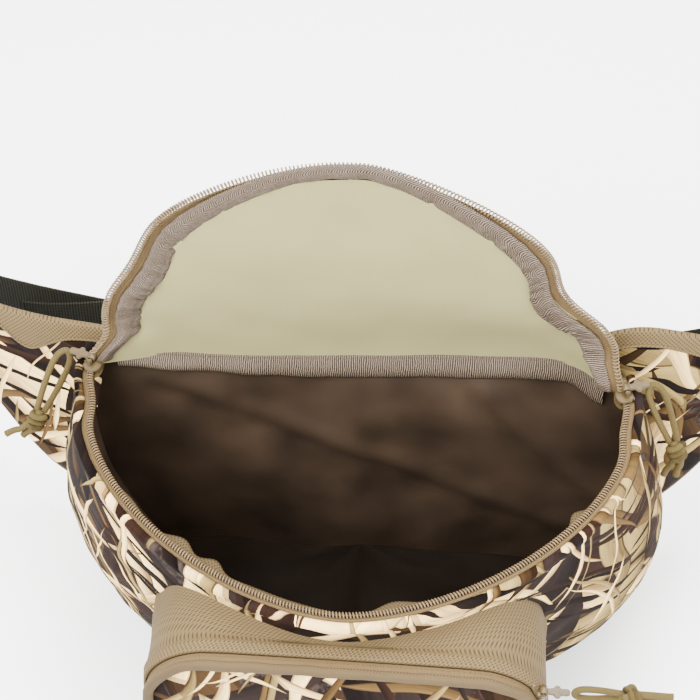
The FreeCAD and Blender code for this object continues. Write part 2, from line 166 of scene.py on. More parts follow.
def tube(name, points, radius, sides=8, caps=True, ridge=None):
    """Round tube along points in millimetres; ridge(s, turn) scales its radius."""
    points = [Vector(p) for p in points]
    lengths = run_lengths(points)
    normal = None
    rows = []
    for i, here in enumerate(points):
        a = points[max(i - 1, 0)]
        b = points[min(i + 1, len(points) - 1)]
        along = (b - a).normalized()
        if normal is None:
            normal = along.orthogonal().normalized()
        normal = (normal - along * normal.dot(along)).normalized()
        side = along.cross(normal)
        row = []
        for k in range(sides):
            turn = 2 * math.pi * k / sides
            r = radius if ridge is None else radius * ridge(lengths[i], turn)
            row.append(here + (normal * math.cos(turn) + side * math.sin(turn)) * r)
        rows.append(row)
    return surface(name, rows, closed=True, caps=caps)


def sweep(name, line, profile, closed=True, caps=True, change=None):
    """Profile of (out, up) points carried along line, a list of (place, out, up)."""
    rows = []
    for i, (place, out, up) in enumerate(line):
        row = []
        for k, (a, b) in enumerate(profile):
            if change:
                a, b = change(i / (len(line) - 1), k / (len(profile) - 1), a, b)
            row.append(place + out * a + up * b)
        rows.append(row)
    piece = surface(name, rows, closed=closed, caps=caps and closed)
    return piece


def round_bar(a0, a1, b0, b1, count=12, power=3.0):
    """Closed rounded profile filling the box a0..a1, b0..b1."""
    pts = []
    for k in range(count):
        turn = 2 * math.pi * k / count
        c = math.cos(turn)
        s = math.sin(turn)
        x = math.copysign(abs(c) ** (2 / power), c)
        y = math.copysign(abs(s) ** (2 / power), s)
        pts.append(((a0 + a1) / 2 + (a1 - a0) / 2 * x, (b0 + b1) / 2 + (b1 - b0) / 2 * y))
    return pts


def join(name, pieces):
    """One object from several, keeping their materials."""
    mesh = bpy.data.meshes.new(name)
    whole = bmesh.new()
    slots = []
    for piece in pieces:
        part = piece.data
        for material in part.materials:
            if material not in slots:
                slots.append(material)
        start = len(whole.faces)
        whole.from_mesh(part)
        whole.faces.ensure_lookup_table()
        for face in whole.faces[start:]:
            if part.materials:
                face.material_index = slots.index(part.materials[face.material_index])
    whole.to_mesh(mesh)
    whole.free()
    for material in slots:
        mesh.materials.append(material)
    joined = bpy.data.objects.new(name, mesh)
    bpy.context.scene.collection.objects.link(joined)
    for piece in pieces:
        bpy.data.objects.remove(piece)
    return joined


def dress(piece, material, body, nodes=()):
    """Material, body and replaced CAD nodes of one piece."""
    if material is not None:
        piece.data.materials.clear()
        piece.data.materials.append(material)
    if body:
        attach(piece, body)
    if nodes:
        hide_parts(*nodes)
    return piece


def hinge_cloth(piece, material, nodes=()):
    """A piece of the lid, built at the open angle: dressed with no body and its transform baked into the
    mesh.
    """
    dress(piece, material, None, nodes)
    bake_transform(piece)
    return piece


# ================================================================ materials

LIGHT = 5.0
# how the film-like view mixes the three colours before its tone curve
VIEW_MIX = Matrix(((0.8425, 0.0784, 0.0792), (0.0423, 0.8785, 0.0792), (0.0424, 0.0784, 0.8791)))


def shown_as(level):
    """Display value, 0 to 1, that the film-like view gives a scene brightness."""
    x = clamp((math.log2(max(level, 1e-6)) + 12.474) / 16.5)
    return (15.5 * x ** 6 - 40.14 * x ** 5 + 31.96 * x ** 4 - 6.868 * x ** 3 + 0.4298 * x ** 2
            + 0.1191 * x - 0.00232)


def rgb(r, g, b):
    """Cloth colour that shows as these display values, 0 to 255, under the studio light."""
    found = []
    for c in VIEW_MIX @ Vector((r, g, b)):
        low, high = 1e-4, 16.0
        for _ in range(40):
            mid = math.sqrt(low * high)
            if shown_as(mid) < c / 255:
                low = mid
            else:
                high = mid
        found.append(low / LIGHT)
    return tuple(clamp(c, 0.002, 0.92) for c in VIEW_MIX.inverted() @ Vector(found)) + (1.0,)


class Recipe:
    """Builds one material's node tree with short calls."""

    def __init__(self, name):
        self.material = bpy.data.materials.new(name)
        self.material.use_nodes = True
        self.tree = self.material.node_tree
        self.tree.nodes.clear()
        self.uv = self.add("TexCoord", out=2)
        self.mm = self.add("VectorMath", {0: self.uv, 3: 1000.0}, operation="SCALE")

    def add(self, kind, ins=None, out=0, **props):
        node = self.tree.nodes.new("ShaderNode" + kind)
        for key, value in props.items():
            setattr(node, key, value)
        for key, value in (ins or {}).items():
            if isinstance(value, bpy.types.NodeSocket):
                self.tree.links.new(value, node.inputs[key])
            else:
                node.inputs[key].default_value = value
        return node.outputs[out]

    def calc(self, operation, a, b=0.0, c=0.0):
        return self.add("Math", {0: a, 1: b, 2: c}, operation=operation)

    def mix(self, factor, a, b, blend="MIX"):
        return self.add("Mix", {0: factor, 6: a, 7: b}, out=2, data_type="RGBA", blend_type=blend)

    def ramp(self, value, stops, interpolation="LINEAR"):
        node = self.tree.nodes.new("ShaderNodeValToRGB")
        node.color_ramp.interpolation = interpolation
        points = node.color_ramp.elements
        while len(points) < len(stops):
            points.new(0.5)
        for point, (place, colour) in zip(points, stops):
            point.position = place
            point.color = colour
        self.tree.links.new(value, node.inputs[0])
        return node.outputs[0]

    def squeeze(self, vector, x, y, z=1.0):
        return self.add("VectorMath", {0: vector, 1: (x, y, z)}, operation="MULTIPLY")

    def noise(self, vector, scale, detail=3.0, out=0, rough=0.55):
        ins = {"Vector": vector, "Scale": scale, "Detail": detail, "Roughness": rough}
        return self.add("TexNoise", ins, out=out)

    def axes(self, vector):
        node = self.tree.nodes.new("ShaderNodeSeparateXYZ")
        self.tree.links.new(vector, node.inputs[0])
        return node.outputs[0], node.outputs[1], node.outputs[2]

    def ribs(self, value, pitch):
        """0 to 1 wave with that pitch."""
        angle = self.calc("MULTIPLY", value, 2 * math.pi / pitch)
        return self.calc("MULTIPLY_ADD", self.calc("SINE", angle), 0.5, 0.5)

    def weave(self, across, along):
        """Plain weave height, 0 to 1: over and under threads of those pitches in millimetres."""
        x, y, _ = self.axes(self.mm)
        warp = self.calc("SINE", self.calc("MULTIPLY", x, math.pi / across))
        weft = self.calc("SINE", self.calc("MULTIPLY", y, math.pi / along))
        return self.calc("MULTIPLY_ADD", self.calc("MULTIPLY", warp, weft), 0.5, 0.5)

    def finish(self, colour, rough=0.8, height=None, depth=0.2, sheen=0.0, specular=0.4,
               coat=0.0, metallic=0.0):
        ins = {"Base Color": colour, "Roughness": rough, "Specular IOR Level": specular,
               "Metallic": metallic}
        if height is not None:
            ins["Normal"] = self.add("Bump", {"Height": height, "Distance": depth * MM, "Strength": 1.0})
        if sheen:
            ins["Sheen Weight"] = sheen
            ins["Sheen Roughness"] = 0.5
        if coat:
            ins["Coat Weight"] = coat
            ins["Coat Roughness"] = 0.25
        shader = self.add("BsdfPrincipled", ins)
        target = self.tree.nodes.new("ShaderNodeOutputMaterial")
        self.tree.links.new(shader, target.inputs[0])
        return self.material


CREAM = rgb(236, 228, 206)
SAND = rgb(206, 194, 156)
STRAW = rgb(164, 140, 98)
BARK = rgb(124, 96, 64)
RUST = rgb(84, 54, 42)
MAUVE = rgb(128, 114, 108)
PLUM = rgb(78, 62, 60)
SHADE = rgb(48, 34, 30)


def blade_layer(r, under, turn, length, width, keep, palette, seed, curl=26.0, edge=0.05):
    """One layer of long curved leaves laid over the colour under it."""
    place = r.add("VectorRotate", {"Vector": r.mm, "Angle": turn}, rotation_type="Z_AXIS")
    place = r.add("VectorMath", {0: place, 1: (seed * 37.0, seed * 91.0, 0)}, operation="ADD")
    drift = r.noise(place, 1 / 150.0, 1.5, out=1)
    drift = r.add("VectorMath", {0: drift, 1: (0.5, 0.5, 0.5)}, operation="SUBTRACT")
    drift = r.squeeze(drift, 0.6 * curl * 2, curl * 3.2, 0)
    place = r.add("VectorMath", {0: place, 1: drift}, operation="ADD")
    cells = r.squeeze(place, 1 / length, 1 / width, 0)
    node = r.tree.nodes.new("ShaderNodeTexVoronoi")
    node.voronoi_dimensions = "2D"
    node.inputs["Scale"].default_value = 1.0
    r.tree.links.new(cells, node.inputs["Vector"])
    chance, tone, _ = r.axes(node.outputs["Color"])
    rim = r.add("TexVoronoi", {"Vector": cells, "Scale": 1.0}, voronoi_dimensions="2D",
                feature="DISTANCE_TO_EDGE")
    offset = r.add("VectorMath", {0: cells, 1: node.outputs["Position"]}, operation="SUBTRACT")
    _, side, _ = r.axes(offset)
    shade = r.calc("MULTIPLY_ADD", side, 0.9, 0.5)
    streaks = r.noise(r.squeeze(place, 1 / 40.0, 1 / 2.6, 0), 1.0, 4.0, rough=0.7)
    colour = r.ramp(tone, palette, "CONSTANT")
    light = r.ramp(r.calc("ADD", r.calc("MULTIPLY", shade, 0.5), r.calc("MULTIPLY", streaks, 0.6)),
                   [(0.25, (0.26, 0.21, 0.18, 1)), (0.56, (0.92, 0.90, 0.88, 1)),
                    (0.85, (1.35, 1.32, 1.28, 1))])
    colour = r.mix(1.0, colour, light, "MULTIPLY")
    outline = r.calc("LESS_THAN", rim, edge)
    colour = r.mix(r.calc("MULTIPLY", outline, 0.55), colour, RUST)
    shown = r.calc("LESS_THAN", chance, keep)
    shown = r.calc("MULTIPLY", shown, r.calc("GREATER_THAN", rim, edge * 0.35))
    return r.mix(shown, under, colour)


def camo_cloth(name, turn=0.0):
    """Brushed cloth printed with dry marsh reeds: dark leaf shapes under pale curved blades."""
    r = Recipe(name)
    mottled = r.noise(r.mm, 1 / 5.0, 6.0, rough=0.75)
    ground = r.ramp(mottled, [(0.32, SHADE), (0.46, PLUM), (0.60, MAUVE), (0.72, PLUM)])
    patches = r.noise(r.mm, 1 / 38.0, 2.0)
    ground = r.mix(r.calc("GREATER_THAN", patches, 0.56), ground, r.mix(mottled, RUST, BARK))
    broad = [(0.0, PLUM), (0.24, SAND), (0.38, SHADE), (0.50, CREAM), (0.66, RUST), (0.80, BARK),
             (0.9, PLUM)]
    reeds = [(0.0, CREAM), (0.30, SAND), (0.52, STRAW), (0.70, BARK), (0.82, CREAM)]
    stems = [(0.0, CREAM), (0.45, SAND), (0.75, STRAW)]
    shade = [(0.0, SHADE), (0.5, RUST), (0.8, PLUM)]
    colour = blade_layer(r, ground, turn + 0.5, 130.0, 30.0, 0.60, broad, 1.0, 30.0, 0.03)
    colour = blade_layer(r, colour, turn + 1.9, 120.0, 22.0, 0.42, broad, 2.0, 34.0, 0.04)
    colour = blade_layer(r, colour, turn + 0.9, 105.0, 13.0, 0.28, reeds, 3.0, 34.0, 0.07)
    colour = blade_layer(r, colour, turn + 2.6, 95.0, 8.0, 0.17, reeds, 4.0, 30.0, 0.08)
    colour = blade_layer(r, colour, turn + 0.2, 70.0, 5.0, 0.16, shade, 5.0, 26.0, 0.05)
    colour = blade_layer(r, colour, turn + 1.3, 80.0, 4.0, 0.09, stems, 6.0, 30.0, 0.10)
    colour = blade_layer(r, colour, turn + 2.0, 60.0, 2.8, 0.06, stems, 7.0, 22.0, 0.10)
    nap = r.noise(r.mm, 1.6, 4.0, rough=0.7)
    colour = r.mix(0.22, colour, r.mix(nap, SHADE, CREAM), "SOFT_LIGHT")
    height = r.calc("ADD", r.weave(0.55, 0.55), r.calc("MULTIPLY", nap, 0.6))
    return r.finish(colour, 0.9, height, 0.10, specular=0.05)


def basket_cloth(name, light, dark, pitch=1.3, rough=0.72, depth=0.22):
    """Heavy plain-woven nylon whose crossings read as a fine diagonal check."""
    r = Recipe(name)
    height = r.weave(pitch, pitch)
    patches = r.noise(r.mm, 1 / 22.0, 3.0)
    fibre = r.noise(r.squeeze(r.mm, 1.0, 5.0), 1.2, 2.0)
    tone = r.calc("ADD", r.calc("MULTIPLY", height, 0.75), r.calc("MULTIPLY", fibre, 0.35))
    colour = r.ramp(tone, [(0.18, dark), (0.62, light)])
    colour = r.mix(0.16, colour, r.mix(patches, dark, light))
    return r.finish(colour, rough, height, depth, specular=0.06)


def twill_cloth(name, light, dark, pitch=0.62, rough=0.7, depth=0.05):
    """Fine diagonal twill."""
    r = Recipe(name)
    x, y, _ = r.axes(r.mm)
    lines = r.ribs(r.calc("ADD", x, r.calc("MULTIPLY", y, 0.8)), pitch)
    threads = r.ribs(r.calc("SUBTRACT", x, y), pitch * 0.8)
    height = r.calc("ADD", r.calc("MULTIPLY", lines, 0.7), r.calc("MULTIPLY", threads, 0.3))
    patches = r.noise(r.mm, 1 / 40.0, 3.0)
    colour = r.ramp(height, [(0.1, dark), (0.75, light)])
    colour = r.mix(0.25, colour, r.mix(patches, dark, light))
    return r.finish(colour, rough, height, depth, specular=0.08)


def coated_lining(name, dark, light, shine=0.2):
    """Brown coated satin with real specular sheen and bumped folds. A colour ramp from dark to light along
    the fold noise paints shade in the folds and a sheen on their ridges.
    """
    r = Recipe(name)
    x, y, _ = r.axes(r.mm)
    lines = r.ribs(r.calc("ADD", x, r.calc("MULTIPLY", y, 0.7)), 0.7)
    folds_and_painted_sheen = r.noise(r.mm, 1 / 48.0, 1.5)
    # painted shade and sheen: the colour goes from the dark colour in the fold hollows to the light colour
    # on the fold ridges
    colour = r.ramp(folds_and_painted_sheen, [(0.25, dark), (0.75, light)])
    height = r.calc("ADD", r.calc("MULTIPLY", lines, 0.05), r.calc("MULTIPLY", folds_and_painted_sheen, 1.2))
    rough = r.ramp(folds_and_painted_sheen, [(0.2, (0.36,) * 3 + (1,)), (0.8, (0.48,) * 3 + (1,))])
    return r.finish(colour, rough, height, 1.1, specular=shine)


def grosgrain(name, light, dark, pitch=1.5, sparkle=0.22, depth=0.5):
    """Ribbed binding tape, ribs across its length, with glossy threads; its brightest ribs and knots take a
    pale painted highlight colour.
    """
    r = Recipe(name)
    x, y, _ = r.axes(r.mm)
    sway = r.noise(r.mm, 1 / 9.0, 2.0)
    place = r.calc("ADD", y, r.calc("MULTIPLY", sway, 2.4))
    ribs = r.ribs(place, pitch)
    knots = r.noise(r.squeeze(r.mm, 1.5, 0.8), 0.9, 3.0, rough=0.7)
    tone = r.calc("ADD", r.calc("MULTIPLY", ribs, 0.55), r.calc("MULTIPLY", knots, 0.5))
    # painted highlight: the top stop of the ramp is a pale glint colour on the brightest ribs and knots
    colour = r.ramp(tone, [(0.25, dark), (0.62, light), (0.86, rgb(206, 194, 180))])
    height = r.calc("ADD", r.calc("MULTIPLY", ribs, 0.6), r.calc("MULTIPLY", knots, 0.8))
    return r.finish(colour, 0.5, height, depth, specular=sparkle)


def zip_tape(name, light, dark):
    """Knitted zip tape: fine herringbone."""
    r = Recipe(name)
    x, y, _ = r.axes(r.mm)
    zig = r.calc("PINGPONG", x, 1.1)
    lines = r.ribs(r.calc("ADD", y, zig), 0.9)
    fibre = r.noise(r.mm, 1.4, 3.0)
    colour = r.ramp(r.calc("ADD", r.calc("MULTIPLY", lines, 0.55), r.calc("MULTIPLY", fibre, 0.5)),
                    [(0.2, dark), (0.7, light)])
    return r.finish(colour, 0.78, lines, 0.16, specular=0.06)


def webbing_cloth(name, light, dark):
    """Belt webbing: ribs across the strap, finer threads along it."""
    r = Recipe(name)
    x, y, _ = r.axes(r.mm)
    ribs = r.ribs(y, 2.0)
    threads = r.ribs(x, 1.5)
    height = r.calc("ADD", r.calc("MULTIPLY", ribs, 0.6), r.calc("MULTIPLY", threads, 0.4))
    colour = r.ramp(height, [(0.2, dark), (0.85, light)])
    return r.finish(colour, 0.7, height, 0.35, specular=0.05)


def braided_cord(name, light, dark):
    """Nylon sheath whose strands cross in a fine diamond braid."""
    r = Recipe(name)
    x, y, _ = r.axes(r.mm)
    one = r.ribs(r.calc("ADD", y, r.calc("MULTIPLY", x, 0.9)), 1.15)
    two = r.ribs(r.calc("SUBTRACT", y, r.calc("MULTIPLY", x, 0.9)), 1.15)
    height = r.calc("MAXIMUM", one, two)
    fibre = r.noise(r.mm, 2.2, 2.0)
    colour = r.ramp(r.calc("ADD", r.calc("MULTIPLY", height, 0.75), r.calc("MULTIPLY", fibre, 0.25)),
                    [(0.42, dark), (0.8, light)])
    return r.finish(colour, 0.7, height, 0.30, specular=0.08)


def moulded(name, light, dark, rough=0.4, grain=0.03, metallic=0.0, coat=0.0):
    """Painted metal or moulded plastic with faint mottling and a fine grain."""
    r = Recipe(name)
    place = r.add("TexCoord", out=3)
    cloudy = r.noise(place, 120.0, 3.0)
    fine = r.noise(place, 2600.0, 2.0)
    colour = r.mix(cloudy, dark, light)
    gloss = r.ramp(cloudy, [(0.3, (rough * 0.8,) * 3 + (1,)), (0.7, (rough * 1.2,) * 3 + (1,))])
    return r.finish(colour, gloss, fine, grain, specular=0.25, metallic=metallic, coat=coat)


def spacer_mesh(name):
    """Open air mesh whose round holes are painted near black: painted shade inside the holes."""
    r = Recipe(name)
    holes = r.add("TexVoronoi", {"Vector": r.mm, "Scale": 0.42, "Randomness": 0.12}, voronoi_dimensions="2D")
    # painted shade: the holes are not cut, their centres are coloured near black
    colour = r.ramp(holes, [(0.28, rgb(34, 34, 28)), (0.46, rgb(96, 94, 76))])
    return r.finish(colour, 0.85, holes, 0.9, specular=0.05)


def floor_paper(name):
    r = Recipe(name)
    place = r.add("TexCoord", out=3)
    cloudy = r.noise(place, 6.0, 2.0)
    return r.finish(r.mix(cloudy, rgb(250, 250, 250), rgb(255, 255, 255)), 0.9, specular=0.1)


CAMO = camo_cloth("camo_print")
CAMO_TURNED = camo_cloth("camo_print_turned", 0.8)
TAN = basket_cloth("tan_basket_weave", rgb(176, 158, 124), rgb(98, 84, 60), pitch=1.3)
TAN_DARK = basket_cloth("tan_backing", rgb(158, 140, 108), rgb(88, 74, 52), pitch=1.1)
PALE = twill_cloth("pale_twill_lining", rgb(212, 208, 178), rgb(180, 175, 144), pitch=1.2)
# lining colours: the dark one is painted shade in the folds, the light one a painted sheen
BROWN = coated_lining("brown_coated_lining", rgb(82, 66, 52), rgb(128, 106, 86))
# darker copy of the brown lining for the compartment floor: painted shade at the bottom of the bag
LINING_FLOOR_PAINTED_SHADE = coated_lining("brown_lining_floor_painted_shade", rgb(48, 37, 29), rgb(66, 52, 41), 0.02)
BINDING = grosgrain("grosgrain_binding", rgb(150, 132, 114), rgb(76, 62, 52))
HINGE_TAPE = grosgrain("hinge_binding_tape", rgb(128, 112, 90), rgb(58, 47, 38), pitch=1.3)
EDGE_TAPE = twill_cloth("pocket_edge_tape", rgb(176, 158, 126), rgb(112, 95, 70), pitch=1.5, depth=0.2)
TAPE = zip_tape("zip_tape_weave", rgb(186, 166, 132), rgb(112, 96, 70))
COIL = moulded("zip_coil_nylon", rgb(196, 178, 146), rgb(150, 130, 98), 0.38)
METAL = moulded("tan_painted_metal", rgb(166, 146, 106), rgb(128, 110, 74), 0.3, 0.01, coat=0.15)
CORD = braided_cord("khaki_braided_cord", rgb(178, 162, 116), rgb(78, 68, 40))
WEBBING = webbing_cloth("olive_belt_webbing", rgb(104, 104, 86), rgb(36, 36, 28))
PLASTIC = moulded("olive_buckle_plastic", rgb(74, 72, 60), rgb(52, 50, 42), 0.45, 0.05)
MESH = spacer_mesh("olive_air_mesh")


# ================================================================ the mouth

def mouth_outline(power_right=MOUTH_POWER, power_left=MOUTH_POWER, depth=MOUTH_DEPTH, tail=0.0):
    """Dense outline from the right hinge end round the front to the left one, as (x, y)."""
    pts = []
    steps = 60
    first = math.asin(0.12)
    for i in range(12):
        d = -tail + (CORNER_D + tail) * i / 12
        pts.append((HINGE_HALF + CORNER_SLOPE * d, d))
    for i in range(steps + 1):
        turn = first + (math.pi - 2 * first) * i / steps
        c = math.cos(turn)
        s = math.sin(turn)
        power = 2.0 / (power_right if c > 0 else power_left)
        x = MOUTH_HALF * math.copysign(abs(c) ** power, c)
        pts.append((x, MOUTH_WIDE_D + (depth - MOUTH_WIDE_D) * abs(s) ** power))
    for i in range(12):
        d = CORNER_D - (CORNER_D + tail) * (i + 1) / 12
        pts.append((-HINGE_HALF - CORNER_SLOPE * d, d))
    return np.array([(x, -d) for x, d in pts])


def resample(points, count):
    """Evenly spaced points along a polyline, eased so that corners stay round."""
    points = np.array(points, float)
    for _ in range(2):
        points[1:-1] = points[1:-1] * 0.5 + (points[:-2] + points[2:]) * 0.25
    steps = np.r_[0, np.cumsum(np.linalg.norm(np.diff(points, axis=0), axis=1))]
    even = np.linspace(0, steps[-1], count)
    return np.stack([np.interp(even, steps, points[:, k]) for k in range(points.shape[1])], 1)


def seat(turned=0.0):
    """Matrix from the mouth frame to the pack, in millimetres, turned open about the hinge."""
    return Matrix.Translation(HINGE / MM) @ Matrix.Rotation(MOUTH_TILT - turned, 4, "X")


FLARE_LEFT, FLARE_RIGHT = 9.0, 6.0


def flare(x, d):
    """The mouth's ends spread sideways towards the sliders."""
    side = -FLARE_LEFT if x < 0 else FLARE_RIGHT
    return side * smooth(46, 10, d) * smooth(90, 140, abs(x))


def body_bend(place):
    return Vector((place.x + flare(place.x, -place.y), place.y, 0))


def mouth_line(count, turned=0.0, skip=0.0, bend=body_bend, **shape):
    """(place, out, up) along the mouth; skip trims that length off each end."""
    flat = resample(mouth_outline(**shape), 400)
    steps = np.r_[0, np.cumsum(np.linalg.norm(np.diff(flat, axis=0), axis=1))]
    even = np.linspace(skip, steps[-1] - skip, count)
    flat = np.stack([np.interp(even, steps, flat[:, k]) for k in (0, 1)], 1)
    matrix = seat(turned)
    spin = matrix.to_3x3()
    line = []
    for i in range(count):
        a = flat[max(i - 1, 0)]
        b = flat[min(i + 1, count - 1)]
        along = Vector((b[0] - a[0], b[1] - a[1], 0)).normalized()
        out = Vector((-along.y, along.x, 0))
        if out.dot(Vector((flat[i][0], flat[i][1] + 60, 0))) < 0:
            out = -out
        place = Vector((flat[i][0], flat[i][1], 0))
        if bend:
            place = bend(place)
        line.append((matrix @ place, spin @ out, spin @ Vector((0, 0, 1))))
    return line


def line_at(line, share):
    """Interpolated (place, out, up) at a share 0 to 1 of a line."""
    x = clamp(share) * (len(line) - 1)
    i = min(int(x), len(line) - 2)
    t = x - i
    return tuple(a.lerp(b, t) for a, b in zip(line[i], line[i + 1]))


def coil_piece(name, line, middle, lift, half_w, half_h, pitch, wire):
    """Zip coil: one long flattened helix of monofilament along the line."""
    length = run_lengths([p for p, _, _ in line])[-1]
    steps = 9
    count = int(length / pitch) * steps
    pts = []
    for i in range(count + 1):
        place, out, up = line_at(line, i / count)
        turn = 2 * math.pi * i / steps
        pts.append(place + out * (middle + half_w * math.cos(turn)) + up * (lift + half_h * math.sin(turn)))
    return tube(name, pts, wire, sides=5)


# ================================================================ body

def section(left, right, depth, z, count, grow=0.0):
    """Horizontal outline of the body from its right back corner round to the left one."""
    wide = 34.0
    back = HINGE.y / MM
    pts = [(right - 10 + grow, back, z)]
    for i in range(61):
        turn = math.pi * i / 60
        c = math.cos(turn)
        s = math.sin(turn)
        half = (right if c > 0 else left) + grow
        x = half * math.copysign(abs(c) ** (2 / 1.75), c)
        d = wide + (depth + grow - wide) * abs(s) ** (2 / 1.75)
        pts.append((x, back - d, z))
    pts.append((-left + 10 - grow, back, z))
    return resample(pts, count)


def body_rows(count, grow, levels, rim_out, rim_lift):
    """Rows of the wall from the rim down to the floor, through three sections."""
    rim = mouth_line(count)
    top = [p + out * rim_out + up * rim_lift for p, out, up in rim]
    mid = section(MID_LEFT, MID_RIGHT, MID_DEPTH, MID_Z, count, grow)
    low = section(BOTTOM_LEFT, BOTTOM_RIGHT, BOTTOM_DEPTH, 0.0, count, grow)
    rows = []
    for v in levels:
        a = (v - 0.5) * (v - 1) * 2
        b = v * (1 - v) * 4
        c = v * (v - 0.5) * 2
        rows.append([top[i] * a + Vector(mid[i]) * b + Vector(low[i]) * c for i in range(count)])
    return rows, rim


def make_wall():
    count = 150
    levels = [0.02 + 0.98 * (i / 34) for i in range(35)]
    rows, rim = body_rows(count, 0.0, levels, RIM_OUT, -0.6)
    hem = []
    for a, b in ((6.6, 0.7), (7.3, 1.5), (8.4, 1.9), (9.4, 1.3), (9.6, -0.6)):
        row = []
        for i, (p, out, up) in enumerate(rim):
            ripple = 0.5 * wave(p.x, p.y, 0, 16, 3)
            row.append(p + out * (a + ripple) + up * (b + 0.6 * ripple))
        hem.append(row)
    for r, row in enumerate(rows):
        v = levels[r]
        for i in range(count):
            p = row[i]
            away = Vector((p.x, p.y - 20, 0)).normalized()
            sway = 3.2 * wave(p.x, p.y, p.z, 62, 1) + 1.6 * wave(p.x, p.y, p.z * 1.6, 24, 2)
            pull = 1.2 * bump(v, 0.10, 0.07)
            foot = smooth(1.0, 0.93, v)
            side = smooth(0, 12, min(i, count - 1 - i))
            row[i] = p + away * ((sway * smooth(0, 0.25, v) - pull) * foot * side)
            if v > 0.9:
                row[i] -= away * (4.0 * smooth(0.93, 1.0, v))
            row[i].z = max(row[i].z, 0.4)
    wall = surface("bag_wall", hem + rows)
    thicken(wall, 1.6, 1.0)
    dress(wall, CAMO, "bag", ("outer_shell",))
    last = rows[-1]
    inner = [last]
    for k in (0.94, 0.7, 0.4, 0.1):
        ring = []
        for p in last:
            q = Vector((p.x * k, HINGE.y / MM + (p.y - HINGE.y / MM) * k, 0.4 + 1.2 * (1 - k)))
            ring.append(q)
        inner.append(ring)
    floor = surface("bag_bottom", inner)
    thicken(floor, 1.4, 1.0)
    dress(floor, TAN_DARK, "bag", ("bottom_panel",))
    return wall


def make_lining():
    count = 120
    levels = [0.012 + 0.965 * i / 30 for i in range(31)]
    rows, rim = body_rows(count, -6.5, levels, 4.0, -1.0)
    for r, row in enumerate(rows):
        v = levels[r]
        for i in range(count):
            p = row[i]
            away = Vector((p.x, p.y - 20, 0)).normalized()
            folds = 5.0 * wave(p.x, p.y, p.z, 52, 5) + 2.4 * wave(p.x * 1.4, p.y, p.z, 20, 6)
            row[i] = p - away * (abs(folds) * smooth(0, 0.2, v) * smooth(0, 10, min(i, count - 1 - i)))
    sides = surface("compartment_lining", rows)
    dress(sides, BROWN, "bag", ("interior_lining",))
    base = rows[-1]
    rows = [rows[-2], base]
    middle = Vector((0, 69, 6))
    for k in (0.9, 0.75, 0.6, 0.45, 0.3, 0.15, 0.02):
        rise = 1.0 + 4.0 * (1 - k)
        rows.append([middle.lerp(p, k) + Vector((0, 0, rise + 2.0 * wave(p.x * k, p.y * k, 0, 60, 8)))
                     for p in base])
    floor = surface("compartment_floor", rows)
    # the floor takes the darker lining copy: painted shade deep in the compartment
    dress(floor, LINING_FLOOR_PAINTED_SHADE, "bag")
    back_rows = []
    across = 90
    for r in range(48):
        v = r / 47
        z = 197.0 - 193.0 * v
        t = (z - MID_Z) / 97
        left = MID_LEFT - 4 - 19 * max(t, 0) - 36 * max(-t, 0) ** 1.3
        right = MID_RIGHT - 4 - 31 * max(t, 0) - 36 * max(-t, 0) ** 1.3
        row = []
        for i in range(across + 1):
            u = i / across
            x = -left + (left + right) * u
            fold = 2.6 * bump(x + 0.75 * z, 178, 18) + 3.2 * bump(x + 0.9 * z, 236, 12)
            fold += 2.2 * bump(x - 0.15 * z, -20, 16) + 1.8 * bump(x + 0.2 * z, -60, 14)
            fold += 2.4 * bump(x * 0.5 + z, 120, 10) + 3.0 * (wave(x, 0, z, 60, 9) + 0.4)
            y = 68.0 - fold * smooth(0.0, 0.12, v) * smooth(0, 0.06, min(u, 1 - u))
            rise = hinge_rise(x) * smooth(140, 196, z)
            row.append(Vector((x, y + rise, z + rise)))
        back_rows.append(row)
    wall = surface("compartment_back", back_rows)
    dress(wall, BROWN, "bag")


def make_allowance():
    """Raw edge of the front wall showing in lumps behind the coil."""
    line = mouth_line(260)
    lumps = ((0.30, 0.022, 8.0), (0.345, 0.016, 7.0), (0.40, 0.05, 3.6), (0.47, 0.05, 3.2),
             (0.56, 0.026, 6.5), (0.62, 0.05, 2.5), (0.80, 0.016, 6.0), (0.22, 0.03, 3.0))
    lo, hi = 40, 220
    rows = []
    for i in range(lo, hi):
        share = 1 - i / 259
        p, out, up = line[i]
        reach = 1.2 + sum(size * bump(share, at, width) for at, width, size in lumps)
        reach *= smooth(lo, lo + 12, i) * smooth(hi, hi - 12, i)
        row = []
        for k in range(7):
            t = k / 6
            row.append(p + out * (3.0 - (3.0 + reach) * t) + up * (-1.0 - 2.4 * t * t - 0.8 * t))
        rows.append(row)
    flap = surface("seam_allowance", rows)
    thicken(flap, 0.9)
    dress(flap, TAN_DARK, "bag")


def make_mouth_zip():
    line = mouth_line(300)
    tape = sweep("mouth_zip_tape", line, round_bar(1.9, 8.2, -0.5, 0.75, 12))
    dress(tape, TAPE, "bag", ("body_zip_tape",))
    part = mouth_line(500, skip=19.0)
    coil = coil_piece("mouth_zip_coil", part, 0.7, 1.0, 1.9, 1.25, 1.9, 0.46)
    # painted shadow: a dark brown tube inside the coil darkens the gaps between its turns
    core = tube("coil_painted_shadow_core", [p + out * 0.7 + up * 0.9 for p, out, up in part], 0.75, sides=6)
    dress(core, BROWN, "bag")
    dress(coil, COIL, "bag", ("body_zip_coil",))
    stitch_rows(line, "mouth_stitches", 6.2, 0.75, "bag")


